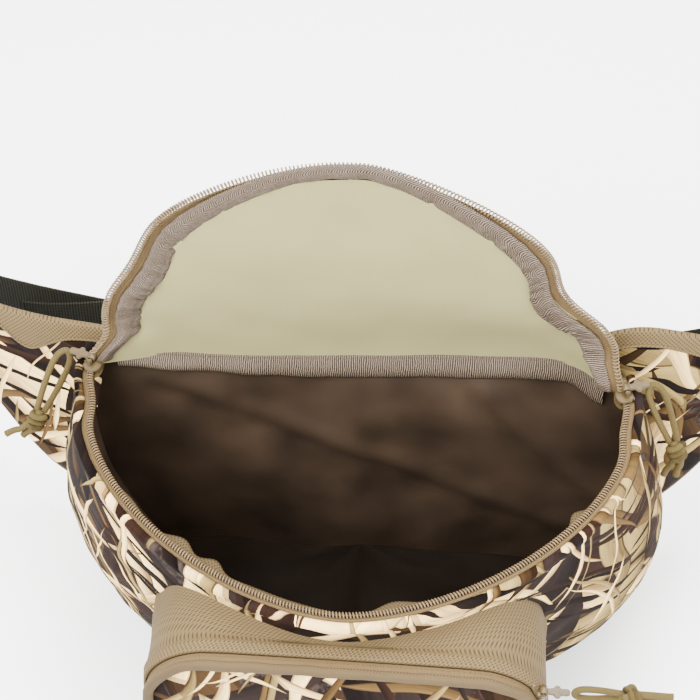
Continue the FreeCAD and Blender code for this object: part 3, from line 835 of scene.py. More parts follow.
def stitch_rows(line, name, out_at, lift, body, gap=3.2, share=(0.03, 0.97)):
    """A run of short raised stitches along a line."""
    length = run_lengths([p for p, _, _ in line])[-1]
    count = int(length * (share[1] - share[0]) / gap)
    verts = []
    faces = []
    for i in range(count):
        at = share[0] + (share[1] - share[0]) * i / count
        a, out_a, up_a = line_at(line, at)
        b, out_b, up_b = line_at(line, at + 0.62 * gap / length)
        a = a + out_a * out_at + up_a * lift
        b = b + out_b * out_at + up_b * lift
        base = len(verts)
        for p, thick in ((a, 0.1), ((a + b) / 2, 0.30), (b, 0.1)):
            for da, db in ((0.28, 0), (0, 1), (-0.28, 0), (0, -1)):
                verts.append(p + out_a * da + up_a * (db * thick))
        for s in range(2):
            for k in range(4):
                m = (k + 1) % 4
                low = base + s * 4
                faces.append((low + k, low + m, low + 4 + m, low + 4 + k))
    uvs = [(v[0] * MM, v[1] * MM) for f in faces for v in (verts[k] for k in f)]
    piece = make_object(name, verts, faces, uvs)
    return dress(piece, TAPE, body)


def make_hinge_band():
    rows = []
    count = 220
    for i in range(count + 1):
        u = i / count
        x = -150 + 299 * u
        drop = 9.5 + 4.5 * smooth(0.1, 0.5, u) + 1.4 * wave(x, 0, 0, 26, 4) + 5.0 * smooth(0.9, 1.0, u)
        lean = 3.2 + 2.0 * wave(x, 3, 0, 34, 7)
        row = []
        rise = hinge_rise(x)
        for a, b in ((2.0, 0.5), (1.4, 2.0), (0.0, 2.9), (-1.6, 2.4), (-3.0, 0.9)):
            row.append(Vector((x, 70 + a + rise, 200 + b + rise)))
        for k in range(1, 9):
            t = k / 8
            row.append(Vector((x, 67 - lean * math.sin(t * 2.6) - 1.2 * t + rise, 200.9 - drop * t + rise)))
        row.append(Vector((x, 68.4 + rise, 200.5 - drop + rise)))
        rows.append(row)
    band = surface("hinge_seam_band", rows)
    dress(band, HINGE_TAPE, "bag", ("hinge_binding", "hinge_welt"))
    line = []
    for i in range(61):
        x = -148 + 296 * i / 60
        rise = hinge_rise(x)
        line.append((Vector((x, 67.4 + rise, 202.4 + rise)), Vector((0, -1, 0)), Vector((0, 0, 1))))
    stitch_rows(line, "hinge_stitches", 0.2, 0.0, "bag", gap=2.6)


# ================================================================ lid

LID_SHAPE = {"power_right": 1.45, "power_left": 1.81, "depth": 177.0}


def hinge_rise(x):
    """How far the hinge seam bows up and back, most on the right."""
    return 7.0 * smooth(-110, 115, x) * smooth(151, 126, x)


def lid_bend(place):
    """The lid's cloth: narrower at its shoulders, feet spread out and forward to the sliders."""
    x, d = place.x, -place.y
    rise = hinge_rise(x) * smooth(70, 0, d)
    corner = smooth(112, 148, abs(x)) * smooth(36, 2, d)
    bulge = -3.0 * math.sin(math.pi * clamp(d / 180)) + 2.0 * wave(x, d, 0, 80, 11)
    shifted = x - 24.0 * bump(d, 78, 36) * smooth(60, 150, x) + 13.0 * bump(d, 85, 37) * smooth(-60, -150, x)
    shifted += 18.0 * smooth(24, 0, d) * (0.5 * smooth(100, 150, x) - smooth(-100, -150, x))
    return Vector((shifted, -d - rise, rise - 11.0 * corner + bulge * smooth(8, 50, d)))


def lid_sheet(name, inset, lift, count=150, rings=30, wrinkle=0.8):
    """Cloth over the whole lid, in rings from its edge to its middle."""
    edge = [Vector((x, y, 0)) for x, y in resample(mouth_outline(**LID_SHAPE), count)]
    foot = [edge[-1].lerp(edge[0], k / 60) for k in range(1, 60)]
    middle = Vector((0, -80, 0))
    matrix = seat(LID_OPEN)
    rows = []
    for k in range(rings):
        share = 1 - 0.998 * k / (rings - 1)
        row = []
        for p in edge + foot:
            away = p - middle
            trim = inset * smooth(-1, -20, p.y)
            q = lid_bend(middle + away * (1 - trim / away.length) * share)
            q.z += lift + wrinkle * wave(q.x, q.y, 0, 30, 12)
            row.append(matrix @ q)
        rows.append(row)
    sheet = surface(name, rows, closed=True)
    flat_uv(sheet, "XZ")
    return sheet


def make_lid():
    outer = lid_sheet("lid_camo_panel", 6.5, 1.6, wrinkle=2.0)
    thicken(outer, 1.4)
    hinge_cloth(outer, CAMO_TURNED, ("lid_outer_panel",))
    inner = lid_sheet("lid_pale_lining", 12.0, -0.9)
    hinge_cloth(inner, PALE, ("lid_lining",))
    line = mouth_line(320, LID_OPEN, bend=lid_bend, **LID_SHAPE)
    tape = sweep("lid_tape", line, round_bar(-11.5, -3.6, -0.6, 0.6, 12))
    hinge_cloth(tape, TAPE, ("lid_zip_tape",))
    coil = coil_piece("lid_coil", mouth_line(520, LID_OPEN, skip=3.0, bend=lid_bend, **LID_SHAPE),
                      -2.0, -0.6, 2.1, 1.4, 2.3, 0.55)
    hinge_cloth(coil, COIL, ("lid_zip_coil",))

    def crumple(u, v, a, b):
        """Wide at the sides and narrow over the top, with a crumpled free edge."""
        top = bump(u, 0.50, 0.17)
        shift = 9.5 * top
        widen = 1.0 - 0.22 * top - 0.35 * smooth(0.06, 0.0, min(u, 1 - u))
        a = -8.5 + (a + 8.5) * widen + shift
        rough = wave(u * 640, v * 9, 0, 11, 13) + 0.6 * wave(u * 640, v * 14, 3, 4.5, 14)
        free = smooth(-8.5, -22, a - shift)
        return a + rough * (0.8 + 1.2 * free), b - rough * (0.9 + 1.8 * free) + 0.8 * free

    band = sweep("lid_binding_band", mouth_line(420, LID_OPEN, bend=lid_bend, skip=2.0, **LID_SHAPE),
                 round_bar(-23.0, -8.5, -4.2, -0.7, 18, 2.4), change=crumple)
    hinge_cloth(band, BINDING, ("lid_binding",))


# ================================================================ sliders and pulls

def chain_frame(side):
    size = math.hypot(CORNER_SLOPE, 1.0)
    matrix = seat()
    here = body_bend(Vector((side * (HINGE_HALF + CORNER_SLOPE * SLIDER_D), -SLIDER_D, 0)))
    along = Vector((side * CORNER_SLOPE, -1, 0)) / size
    out = Vector((side, CORNER_SLOPE, 0)) / size
    spin = matrix.to_3x3()
    return matrix @ here, spin @ along, spin @ out, spin @ Vector((0, 0, 1))


def plate(name, outline, low, high, frame_of, soften=0.35):
    """Outline of (along, out) points raised from low to high, with softened edges."""
    here, along, out, up = frame_of
    mesh = bpy.data.meshes.new(name)
    b = bmesh.new()
    base = [b.verts.new((here + along * l + out * s + up * low) * MM) for l, s in outline]
    face = b.faces.new(base)
    raised = bmesh.ops.extrude_face_region(b, geom=[face])
    moved = [v for v in raised["geom"] if isinstance(v, bmesh.types.BMVert)]
    bmesh.ops.translate(b, verts=moved, vec=up * ((high - low) * MM))
    bmesh.ops.recalc_face_normals(b, faces=b.faces)
    bmesh.ops.bevel(b, geom=list(b.edges), offset=soften * MM, segments=2, affect="EDGES",
                    clamp_overlap=True)
    b.to_mesh(mesh)
    b.free()
    piece = bpy.data.objects.new(name, mesh)
    bpy.context.scene.collection.objects.link(piece)
    return piece


def oval(l0, l1, s0, s1, front=1.0, back=0.62, count=28):
    """Slider plate: rounded, wider towards its front end."""
    pts = []
    for k in range(count):
        turn = 2 * math.pi * k / count
        c = math.cos(turn)
        s = math.sin(turn)
        l = (l0 + l1) / 2 + (l1 - l0) / 2 * math.copysign(abs(c) ** 0.8, c)
        t = (l - l0) / (l1 - l0)
        wide = (back + (front - back) * smooth(0.1, 0.7, t)) * abs(s) ** 0.7
        pts.append((l, (s0 + s1) / 2 + (s1 - s0) / 2 * math.copysign(wide, s)))
    return pts


def round_rod(name, a, b, radius):
    pts = [a.lerp(b, k / 6) for k in range(7)]
    return tube(name, pts, radius, sides=14, ridge=lambda s, t: 1.0)


def ring_eye(name, centre, along, outer, wire, width):
    """Rolled end of a pull tab round the slider's rod."""
    up = along.orthogonal().normalized()
    side = along.cross(up)
    rows = []
    for k in range(29):
        turn = 2 * math.pi * k / 28
        away = up * math.cos(turn) + side * math.sin(turn)
        row = [centre + away * (outer + wire * math.sin(t)) + along * (width * math.cos(t))
               for t in (2 * math.pi * j / 10 for j in range(10))]
        rows.append(row)
    return surface(name, rows, closed=True)


def make_slider(side, name):
    here, along, out, up = chain_frame(side)
    frame_of = (here, along, out, up)
    pieces = [
        plate("top", oval(-8.2, 8.2, -6.2, 5.0), 3.2, 4.6, frame_of, 0.5),
        plate("foot", oval(-8.2, 8.2, -6.2, 3.0), -2.7, -1.4, frame_of, 0.4),
        plate("post", oval(-3.5, 5.5, -5.6, -1.6, 1, 0.5), -1.5, 3.3, frame_of, 0.3),
        plate("lip_out", [(-6, 4.1), (6.6, 4.1), (6.6, 5.0), (-6, 5.0)], 1.9, 4.2, frame_of, 0.25),
        plate("cheek_a", [(3.2, -1.0), (5.0, -1.0), (5.0, 2.2), (3.2, 2.2)], 4.4, 9.6, frame_of, 0.5),
        plate("cheek_b", [(-5.0, -1.0), (-3.2, -1.0), (-3.2, 2.2), (-5.0, 2.2)], 4.4, 9.6, frame_of, 0.5),
    ]
    axis = here + out * EYE_OUT + up * EYE_UP
    pieces.append(round_rod("rod", axis - along * 4.0, axis + along * 4.0, 1.0))
    for piece in pieces:
        piece.data.materials.append(METAL)
    dress(join("zip_slider_" + name, pieces), None, "zip_slider_" + name, ("slider_" + name,))
    tab = [(-2.0, 1.9), (2.0, 1.9), (2.3, 5.6), (4.3, 6.6), (4.3, 8.8), (2.3, 9.6), (2.2, 14.0),
           (1.4, 15.0), (-1.4, 15.0), (-2.2, 14.0), (-2.3, 9.6), (-4.3, 8.8), (-4.3, 6.6), (-2.3, 5.6)]
    arm = plate("arm", [(l, EYE_OUT + s) for l, s in tab], EYE_UP - 0.9, EYE_UP + 0.8, frame_of, 0.4)
    ring = ring_eye("ring", axis, along, 1.9, 0.55, 2.5)
    for piece in (arm, ring):
        piece.data.materials.append(METAL)
    dress(join("zip_tab_" + name, [arm, ring]), None, "zip_pull_" + name, ("pull_tab_" + name,))
    return here + out * 17.4 + up * EYE_UP


def read_route(points):
    """Points along the smooth route that has these control points."""
    curve = bpy.data.curves.new("route", "CURVE")
    curve.dimensions = "3D"
    curve.resolution_u = 16
    spline = curve.splines.new("NURBS")
    spline.points.add(len(points) - 1)
    for point, p in zip(spline.points, points):
        point.co = (p.x, p.y, p.z, 1.0)
    spline.order_u = 3
    spline.use_endpoint_u = True
    holder = bpy.data.objects.new("route", curve)
    bpy.context.scene.collection.objects.link(holder)
    mesh = bpy.data.meshes.new_from_object(holder)
    found = [v.co.copy() for v in mesh.vertices]
    bpy.data.objects.remove(holder)
    return found


def braid(s, turn):
    """Slight ridges of the braided sheath."""
    return 1.0 + 0.045 * max(math.sin(5 * turn + s * 3.2), math.sin(-5 * turn + s * 3.2))


def refine(points, step):
    steps = run_lengths(points)
    count = max(8, int(steps[-1] / step))
    out = []
    j = 0
    for i in range(count + 1):
        want = steps[-1] * i / count
        while j < len(steps) - 2 and steps[j + 1] < want:
            j += 1
        t = (want - steps[j]) / max(steps[j + 1] - steps[j], 1e-9)
        out.append(points[j].lerp(points[j + 1], clamp(t)))
    return out


def knot_curve(centre, down, across, depth, size):
    """Cord wrapped twice round the strands; the tuck is a separate piece in make_pull."""
    pts = []
    for i in range(90):
        t = i / 89
        turn = 2 * math.pi * 2.35 * t + 0.4
        swing = 3.9 + 0.5 * math.sin(3 * turn)
        drop = (-4.2 + 8.4 * t) + 1.2 * math.sin(turn)
        pts.append(centre + across * (swing * math.cos(turn)) * size
                   + depth * (swing * 0.86 * math.sin(turn)) * size + down * drop * size)
    return pts


def make_pull(name, anchor, knot_at, lean, tails, body):
    """Loop of cord from the tab's eye to a knot, and its two tails."""
    down = (knot_at - anchor).normalized()
    across = down.cross(Vector((0, 1, 0))).normalized()
    depth = down.cross(across)
    top = knot_at - down * 6.35
    reach = (top - anchor).length
    route = [top - across * 2.3,
             anchor - across * 7.0 + down * (reach * 0.24),
             anchor - down * 2.0,
             anchor + across * 7.0 + down * (reach * 0.24),
             top + across * 2.3]
    line = refine(read_route(route), 0.45)
    loop = tube("cord_loop_" + name, line, CORD_D / 2, sides=20, ridge=braid)
    dress(loop, CORD, body, ("pull_cord_" + name,))
    pieces = []
    wrap = refine(knot_curve(knot_at, down, across, depth, 1.0), 0.5)
    pieces.append(tube("wrap", wrap, CORD_D / 2, sides=16, ridge=braid))
    core = [knot_at + down * d for d in (-7, -3, 0, 3, 7)]
    pieces.append(tube("core", refine(core, 0.8), 3.0, sides=16, ridge=braid))
    tuck = [knot_at + across * 5.4 - down * 3, knot_at + across * 3 - depth * 5.0,
            knot_at - across * 2.0 - depth * 5.4 + down * 2.5, knot_at - across * 5.4 + down * 3.4]
    pieces.append(tube("tuck", refine(read_route(tuck), 0.5), CORD_D / 2, sides=16, ridge=braid))
    for sign, length in zip((-1, 1), tails):
        aim = (lean + across * (0.10 * sign)).normalized()
        root = knot_at + across * (2.3 * sign)
        bend = [root, root + (down + aim) * (length * 0.25), root + aim * length * 0.75, root + aim * length]
        strand = refine(read_route(bend), 0.5)
        cut = tube("tail", strand, CORD_D / 2 * 1.04, sides=16,
                   ridge=lambda s, t, e=length: braid(s, t) * (1.0 + 0.06 * smooth(e - 4, e, s)))
        pieces.append(cut)
    for piece in pieces:
        piece.data.materials.append(CORD)
    knot = dress(join("cord_knot_" + name, pieces), None, body, ("pull_knot_" + name,))
    length = run_lengths(line)[-1] * MM


def make_pulls():
    for side, name, knot_at, lean, tails in (
            (-1, "left", Vector((-200, 40, 165)), Vector((-0.75, -0.25, -0.6)), (22, 17)),
            (1, "right", Vector((196, 41.5, 170)), Vector((-0.10, -0.20, -0.97)), (20, 21))):
        anchor = make_slider(side, name)
        make_pull(name, anchor, knot_at, lean.normalized(), tails, "zip_pull_" + name)
    pivot = Vector(JOINTS["pocket_pull"]["pos_m"]) / MM
    tilt = math.radians(30.0)
    along = Vector((0, 1, 0))
    out = Vector((math.cos(tilt), 0, math.sin(tilt)))
    down = Vector((math.sin(tilt), 0, -math.cos(tilt)))
    here = pivot - out * 4.9
    frame_of = (here, down, along, out)
    pieces = [plate("top", oval(-8, 8, -4.6, 4.6), 0.5, 1.9, frame_of, 0.4)]
    for s in (-4.3, 2.9):
        pieces.append(plate("cheek", [(-1.6, s), (1.6, s), (1.6, s + 1.4), (-1.6, s + 1.4)], 1.7, 6.5,
                            frame_of, 0.45))
    pieces.append(round_rod("rod", pivot - along * 4.0, pivot + along * 4.0, 1.0))
    for piece in pieces:
        piece.data.materials.append(METAL)
    dress(join("pocket_zip_slider_body", pieces), None, "pocket_zip_slider", ("pocket_slider",))
    tab = [(-2.0, 1.6), (2.0, 1.6), (2.3, 5.6), (4.1, 6.6), (4.1, 9.0), (2.3, 9.6), (2.2, 14.0),
           (1.4, 15.0), (-1.4, 15.0), (-2.2, 14.0), (-2.3, 9.6), (-4.1, 9.0), (-4.1, 6.6), (-2.3, 5.6)]
    flat_frame = (pivot, along, Vector((1, 0, 0)), Vector((0, 0, 1)))
    arm = plate("arm", tab, -0.8, 0.8, flat_frame, 0.4)
    ring = ring_eye("ring", pivot, along, 1.9, 0.5, 2.4)
    for piece in (arm, ring):
        piece.data.materials.append(METAL)
    dress(join("pocket_tab", [arm, ring]), None, "pocket_zip_pull", ("pocket_pull_tab",))
    anchor = pivot + Vector((17.4, 0, 0))
    make_pull("pocket", anchor, anchor + Vector((32, 0, 1.0)), Vector((0.99, 0, -0.12)).normalized(),
              (33, 24), "pocket_zip_pull")


# ================================================================ front pocket

def pocket_line(count):
    """(place, out, back) round the pocket's outline at y 0, starting at the bottom middle."""
    x0, x1 = POCKET_X - POCKET_HALF, POCKET_X + POCKET_HALF
    pts = [(POCKET_X, POCKET_LOW)]
    corners = ((x1 - POCKET_FOOT, POCKET_LOW + POCKET_FOOT, POCKET_FOOT, -90),
               (x1 - POCKET_CORNER, POCKET_TOP - POCKET_CORNER, POCKET_CORNER, 0),
               (x0 + POCKET_CORNER, POCKET_TOP - POCKET_CORNER, POCKET_CORNER, 90),
               (x0 + POCKET_FOOT, POCKET_LOW + POCKET_FOOT, POCKET_FOOT, 180))
    for cx, cz, radius, first in corners:
        for k in range(15):
            turn = math.radians(first + 90 * k / 14)
            pts.append((cx + radius * math.cos(turn), cz + radius * math.sin(turn)))
    pts.append((POCKET_X, POCKET_LOW))
    flat = resample(pts, count)
    line = []
    for i in range(count):
        a = flat[max(i - 1, 0)]
        b = flat[min(i + 1, count - 1)]
        along = Vector((b[0] - a[0], 0, b[1] - a[1])).normalized()
        out = Vector((along.z, 0, -along.x))
        line.append((Vector((flat[i][0], 0.0, flat[i][1])), out, Vector((0, 1, 0))))
    return line


def make_pocket(wall):
    tree = BVHTree.FromPolygons([v.co / MM for v in wall.data.vertices],
                                [tuple(p.vertices) for p in wall.data.polygons])
    line = pocket_line(240)
    rows = []
    for p, out, back in line:
        start = Vector((p.x, -116.0, p.z))
        hit = tree.ray_cast(start, back, 160.0)
        far = hit[0].y + 1.0 if hit[0] is not None else -20.0
        top = smooth(POCKET_TOP - 30, POCKET_TOP, p.z)
        row = [p + out * 0.6 + back * -119.6, p + out * 1.3 + back * -119.4, p + out * 1.5 + back * -118.0]
        row += [p + out * 1.9 + back * -114.6, p + out * 2.2 + back * -113.6, p + out * 1.2 + back * -112.8]
        for k in range(1, 15):
            t = k / 14
            y = -112.8 + (far + 112.8) * t
            sag = -2.6 * math.sin(math.pi * t) * top + 1.6 * wave(p.x, y, p.z, 26, 21)
            sag += 1.4 * wave(p.x, y * 0.3, p.z, 12, 22) * bump(t, 1.0, 0.35)
            climb = Vector((0, 0, 14.0 * t * t * top))
            row.append(p + out * (1.0 + sag * smooth(0, 0.15, t)) + back * y + climb)
        rows.append(row)
    gusset = surface("pocket_gusset_cloth", rows)
    thicken(gusset, 1.2, 1.0)
    dress(gusset, TAN, "bag", ("pocket_gusset",))
    rear = sweep("pocket_zip_tape_rear", line, round_bar(-0.9, 0.3, -119.75, -113.5, 10))
    dress(rear, TAPE, "bag", ("pocket_tape_gusset", "pocket_coil_gusset"))
    ahead = sweep("pocket_zip_tape_front", line, round_bar(-0.9, 0.35, -126.0, -120.25, 10))
    dress(ahead, TAPE, "pocket_flap", ("pocket_tape_flap", "pocket_coil_flap"))
    seam_line = [(p, back, out) for p, out, back in line]
    for name, at, lift, body, gap, share in (
            ("gusset_stitches", -111.0, 1.9, "bag", 3.4, (0.08, 0.92)),
            ("pocket_zip_stitches", -122.6, 0.45, "pocket_flap", 3.0, (0.10, 0.90)),
            ("pocket_zip_stitches_rear", -117.4, 1.6, "bag", 3.0, (0.10, 0.90))):
        stitch_rows(seam_line, name, at, lift, body, gap=gap, share=share)

    def bead(u, v, a, b):
        rough = wave(u * 700, v * 6, 0, 14, 23)
        return a + 0.7 * rough, b + 0.6 * rough

    edge = sweep("pocket_edge_binding", line, round_bar(-4.6, 1.7, -130.6, -125.0, 16, 2.6), change=bead)
    dress(edge, EDGE_TAPE, "pocket_flap", ("pocket_binding",))
    rings = []
    middle = Vector((POCKET_X, 0, (POCKET_LOW + POCKET_TOP) / 2))
    for k in range(25):
        t = k / 24
        ring = []
        for p, out, back in line[:-1]:
            q = (p - out * 3.4) * (1 - t) + Vector((middle.x, 0, middle.z)) * t
            dome = 9.0 * math.sin(math.pi / 2 * clamp(t * 1.6)) + 1.6 * wave(q.x, 0, q.z, 40, 24)
            pucker = 1.2 * wave(q.x, 5, q.z, 11, 25) * bump(t, 0.05, 0.12)
            q.y = -127.2 - dome * 0.75 - pucker * 0.7 + 0.6 * (1 - smooth(0, 0.05, t))
            ring.append(q)
        rings.append(ring)
    panel = surface("pocket_camo_panel", rings, closed=True)
    flat_uv(panel, "XZ")
    dress(panel, CAMO_TURNED, "pocket_flap", ("pocket_front_panel",))


def flat_uv(piece, plane):
    """UVs straight from two of the piece's own axes, in metres."""
    a, b = ("XYZ".index(c) for c in plane)
    layer = piece.data.uv_layers.active.data
    for loop in piece.data.loops:
        co = piece.data.vertices[loop.vertex_index].co
        layer[loop.index].uv = (co[a], co[b])


# ================================================================ wings, back and belt

WING_STATIONS = ((112, 84, 30, 186, 0), (160, 84, 14, 196, 4), (204, 90, 54, 196, 14),
                 (240, 104, 98, 190, 30), (268, 126, 114, 178, 48), (284, 150, 122, 166, 66))
WING_SQUARE = 0.35


def wing_station(t):
    """Smoothly interpolated station: x, y of the front, lower and upper edge, heading."""
    x = clamp(t) * (len(WING_STATIONS) - 1)
    i = min(int(x), len(WING_STATIONS) - 2)
    f = x - i
    last = len(WING_STATIONS) - 1
    prev, a, b, post = (WING_STATIONS[clamp(k, 0, last)] for k in (i - 1, i, i + 1, i + 2))
    out = []
    for p0, p1, p2, p3 in zip(prev, a, b, post):
        out.append(0.5 * (2 * p1 + (p2 - p0) * f + (2 * p0 - 5 * p1 + 4 * p2 - p3) * f ** 2
                          + (3 * p1 - p0 - 3 * p2 + p3) * f ** 3))
    return out


def wing_point(side, t, turn, lift=0.0):
    """Point of the padded wing's skin; turn 0 faces forward and a quarter turn is the top edge."""
    x, y, low, high, heading = wing_station(t)
    if side < 0:
        low -= 26.0 * bump(t, 0.55, 0.24)
    else:
        high += 26.0 * bump(t, 0.22, 0.20) + 8.0 * bump(t, 0.45, 0.15)
    bearing = math.radians(heading)
    away = Vector((-math.sin(bearing) * side, math.cos(bearing), 0))
    c = math.cos(turn)
    s = math.sin(turn)
    tall = math.copysign(abs(s) ** WING_SQUARE, s)
    z = (low + high) / 2 + (high - low) / 2 * tall
    full = 1 - abs(tall) ** 6
    half = 4.2 + 2.8 * full + lift
    depth = 6.5 - half * math.copysign(abs(c) ** 0.6, c)
    rough = 1.8 * wave(x * side, y, z, 34, 31) + 0.6 * wave(x * side, y, z, 12, 32)
    return Vector((x * side, y, z + lift * s)) + away * (depth + rough * full)


def make_wing(side, name):
    steps = 56
    around = 40
    rows = [[wing_point(side, r / steps, 2 * math.pi * k / around) for k in range(around)]
            for r in range(steps + 1)]
    wing = surface("belt_wing_" + name, rows, closed=True, caps=True)
    flat_uv(wing, "XZ")
    wing.data.materials.append(CAMO)
    wing.data.materials.append(TAN_DARK)
    for face in wing.data.polygons:
        back = around // 4 <= face.index % around < 3 * around // 4
        face.material_index = 1 if back or face.index >= steps * around else 0
    dress(wing, None, "bag",
          ("wing_cover_" + name, "wing_pad_" + name, "wing_backing_" + name))
    facing = []
    for r in range(steps * 2 + 1):
        t = r / (steps * 2)
        dip = 0.10 + (0.20 if side < 0 else 0.05) * bump(t, 0.45, 0.09) + 0.04 * bump(t, 0.7, 0.2)
        first = math.asin((1 - dip) ** (1 / WING_SQUARE))
        row = []
        for k in range(15):
            turn = first + (2.1 - first) * k / 14
            row.append(wing_point(side, t, turn, 0.9 + 0.5 * bump(k, 0, 1.2)))
        facing.append(row)
    top = surface("wing_facing_" + name, facing)
    flat_uv(top, "XZ")
    dress(top, TAN, "bag")
    fold = [row[0] for row in facing]
    seam = tube("wing_seam_" + name, refine(fold, 1.2), 0.9, sides=8)
    dress(seam, TAN, "bag")
    hem = [wing_point(side, r / steps, -math.pi / 2) for r in range(1, steps + 1)]
    edge = tube("wing_hem_" + name, refine(hem, 1.5), 2.2, sides=12)
    dress(edge, EDGE_TAPE, "bag")


def make_back():
    y = HINGE.y / MM
    rows = []
    across = 80
    for r in range(46):
        v = r / 45
        z = BACK_LOW + BACK_TALL * v
        t = (z - 96) / 97
        left = 170 - 12 * max(t, 0) - 35 * max(-t, 0) ** 1.5
        right = 182 - 24 * max(t, 0) - 35 * max(-t, 0) ** 1.5
        row = []
        for i in range(across + 1):
            u = i / across
            x = -left + (left + right) * u
            rim = smooth(0, 0.045, min(u, 1 - u)) * smooth(0, 0.05, min(v, 1 - v))
            quilt = 1 - 0.55 * (bump(x, 0, 3) + bump(abs(x), 104, 3)) * rim
            rise = hinge_rise(x) * smooth(150, 194, z)
            depth = 0.6 + 12.6 * rim ** 0.5 * quilt + 0.8 * wave(x, 0, z, 40, 41)
            row.append(Vector((x, y + depth + rise, z + rise)))
        rows.append(row)
    back = surface("back_panel_cloth", rows)
    thicken(back, 0.8)
    dress(back, TAN_DARK, "bag", ("back_panel",))
    pads = []
    for side in (-1, 1):
        cx = PAD_X * side
        rings = []
        for k in range(12):
            t = k / 11
            ring = []
            for i in range(64):
                turn = 2 * math.pi * i / 64
                c = math.cos(turn)
                s = math.sin(turn)
                half_x = PAD_HALF_X * (1 - t)
                half_z = PAD_HALF_Z * (1 - t)
                px = cx + half_x * math.copysign(abs(c) ** 0.4, c)
                pz = PAD_Z + half_z * math.copysign(abs(s) ** 0.4, s)
                ring.append(Vector((px, y + 13.4 + 8.6 * smooth(0, 0.14, t), pz)))
            rings.append(ring)
        pad = surface("pad", rings, closed=True)
        flat_uv(pad, "XZ")
        pad.data.materials.append(MESH)
        pads.append(pad)
    pad = dress(join("lumbar_mesh_pad_pair", pads), None, "bag", ("lumbar_mesh_pads",))


def strap_piece(name, points, low, high, thick, node, side):
    """Webbing standing on edge along a plan line, with rounded selvedges."""
    smooth_line = refine(read_route([Vector((x, y, 0)) for x, y in points]), 2.0)
    rows = []
    middle = (low + high) / 2
    half = (high - low) / 2
    for i, p in enumerate(smooth_line):
        a = smooth_line[max(i - 1, 0)]
        b = smooth_line[min(i + 1, len(smooth_line) - 1)]
        along = (b - a).normalized()
        away = Vector((-along.y, along.x, 0)) * side
        share = i / (len(smooth_line) - 1)
        row = []
        for da, db in round_bar(0.1, thick - 0.1, -half, half, 20, 5.0):
            row.append(Vector((p.x, p.y, middle)) + away * da + Vector((0, 0, db + slope(name, share))))
        rows.append(row)
    strap = surface(name, rows, closed=True, caps=True)
    return dress(strap, WEBBING, "bag", (node,))


def slope(name, share):
    """Height added along a strap: the right one sags, the left one and the tail dip unequally."""
    if name == "webbing_tail":
        return -14.0 * smooth(0.5, 1.0, share)
    if name == "webbing_left":
        return -13.0 * bump(share, 0.62, 0.2) - 3.0 * bump(share, 0.35, 0.15)
    return -18.0 * bump(share, 0.55, 0.26)


def make_belt():
    y = BELT_Y
    bend = [(288, 152), (291, 158), (287, 165), (276, 166), (240, 158), (200, y + 3), (150, y)]
    right = bend + [(44, y)]
    left = [(-a, b) for a, b in bend] + [(-42, y)]
    tail = [(-52, y - 4.6), (-150, y - 4.6), (-205, y - 2.6), (-232, y + 1.0)]
    for name, points, lift, node, side in (("webbing_right", right, 0, "belt_webbing_right", -1),
                                           ("webbing_left", left, 0, "belt_webbing_left", 1),
                                           ("webbing_tail", tail, 1, "belt_tail", 1)):
        strap_piece(name, points, BELT_LOW + lift, BELT_HIGH + lift, WEB_THICK, node, side)
    for node, body in (("buckle_socket", "bag"), ("buckle_plug", "bag"), ("buckle_arm_lower", "arm_lower"),
                       ("buckle_arm_upper", "arm_upper"), ("strap_keeper", "keeper")):
        mesh = frame["nodes"][node].data.copy()
        piece = bpy.data.objects.new("moulded_" + node, mesh)
        bpy.context.scene.collection.objects.link(piece)
        b = bmesh.new()
        b.from_mesh(mesh)
        bmesh.ops.remove_doubles(b, verts=b.verts, dist=0.00002)
        bmesh.ops.dissolve_limit(b, angle_limit=0.02, verts=b.verts, edges=b.edges)
        b.to_mesh(mesh)
        b.free()
        soft = piece.modifiers.new("edges", "BEVEL")
        soft.width = 0.0007
        soft.segments = 3
        soft.limit_method = "ANGLE"
        soft.angle_limit = 0.6
        dress(piece, PLASTIC, body, (node,))


def make_end_tabs():
    """Small cloth tabs folded over the ends of the mouth's zip."""
    for side, name in ((-1, "left"), (1, "right")):
        matrix = seat()
        rows = []
        for k in range(13):
            t = k / 12
            row = []
            for j in range(9):
                s = j / 8
                x = side * (HINGE_HALF - 1.0 + 11.0 * s + 1.2 * t)
                yy = 3.0 - 7.0 * t
                h = -1.4 + 0.8 * math.sin(math.pi * t) + 0.3 * math.sin(math.pi * s)
                row.append(matrix @ Vector((x, yy, h)))
            rows.append(row)
        tab = surface("zip_stop_tab_" + name, rows)
        thicken(tab, 1.0)
        dress(tab, TAN_DARK, "bag", ("zip_end_tab_" + name,))


# ================================================================ studio

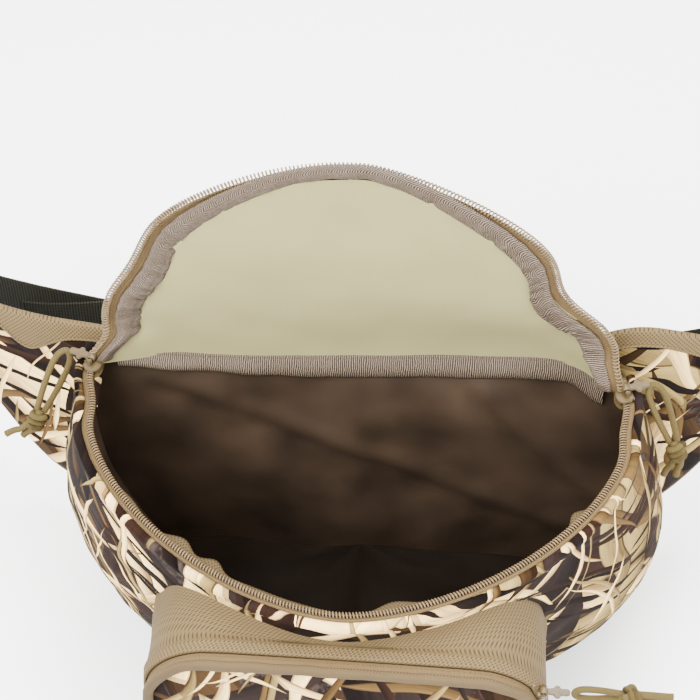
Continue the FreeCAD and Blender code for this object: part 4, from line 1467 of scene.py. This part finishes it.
def make_studio():
    far = 6000
    floor = make_object("studio_floor", [(-far, -far, 0), (far, -far, 0), (far, far, 0), (-far, far, 0)],
                        [(0, 1, 2, 3)], [(0, 0), (1, 0), (1, 1), (0, 1)])
    floor.data.materials.append(floor_paper("studio_paper"))
    world = bpy.data.worlds.new("studio")
    world.use_nodes = True
    world.node_tree.nodes["Background"].inputs[0].default_value = (1, 1, 1, 1)
    world.node_tree.nodes["Background"].inputs[1].default_value = SKY_STRENGTH
    bpy.context.scene.world = world
    for name, place, size, power in (("key", (-0.7, -0.9, 1.5), 1.0, 120.0),
                                     ("fill", (1.2, -0.5, 1.1), 1.2, 50.0),
                                     ("top", (0.1, 0.3, 1.7), 0.9, 60.0)):
        light = bpy.data.lights.new(name, "AREA")
        light.energy = power
        light.size = size
        lamp = bpy.data.objects.new(name, light)
        lamp.location = place
        aim = Vector((0, 0, 0.15)) - Vector(place)
        lamp.rotation_mode = "QUATERNION"
        lamp.rotation_quaternion = aim.to_track_quat("-Z", "Y")
        bpy.context.scene.collection.objects.link(lamp)


def make_camera():
    azimuth, elevation, roll = (math.radians(a) for a in (CAMERA_TURN, CAMERA_UP, CAMERA_ROLL))
    back = Vector((math.sin(azimuth) * math.cos(elevation), -math.cos(azimuth) * math.cos(elevation),
                   math.sin(elevation)))
    camera = bpy.data.objects.new("camera", bpy.data.cameras.new("camera"))
    camera.data.lens = CAMERA_LENS
    camera.data.clip_start = 0.05
    camera.data.clip_end = 30.0
    camera.location = Vector(CAMERA_AIM) + back * CAMERA_AWAY
    camera.rotation_mode = "QUATERNION"
    spin = Matrix.Rotation(roll, 4, "Z").to_quaternion()
    camera.rotation_quaternion = (-back).to_track_quat("-Z", "Y") @ spin
    bpy.context.scene.collection.objects.link(camera)
    bpy.context.scene.camera = camera


make_camera()
make_studio()
bag_wall = make_wall()
make_lining()
make_allowance()
make_mouth_zip()
make_hinge_band()
make_lid()
make_end_tabs()
make_pulls()
make_pocket(bag_wall)
make_wing(-1, "left")
make_wing(1, "right")
make_back()
make_belt()
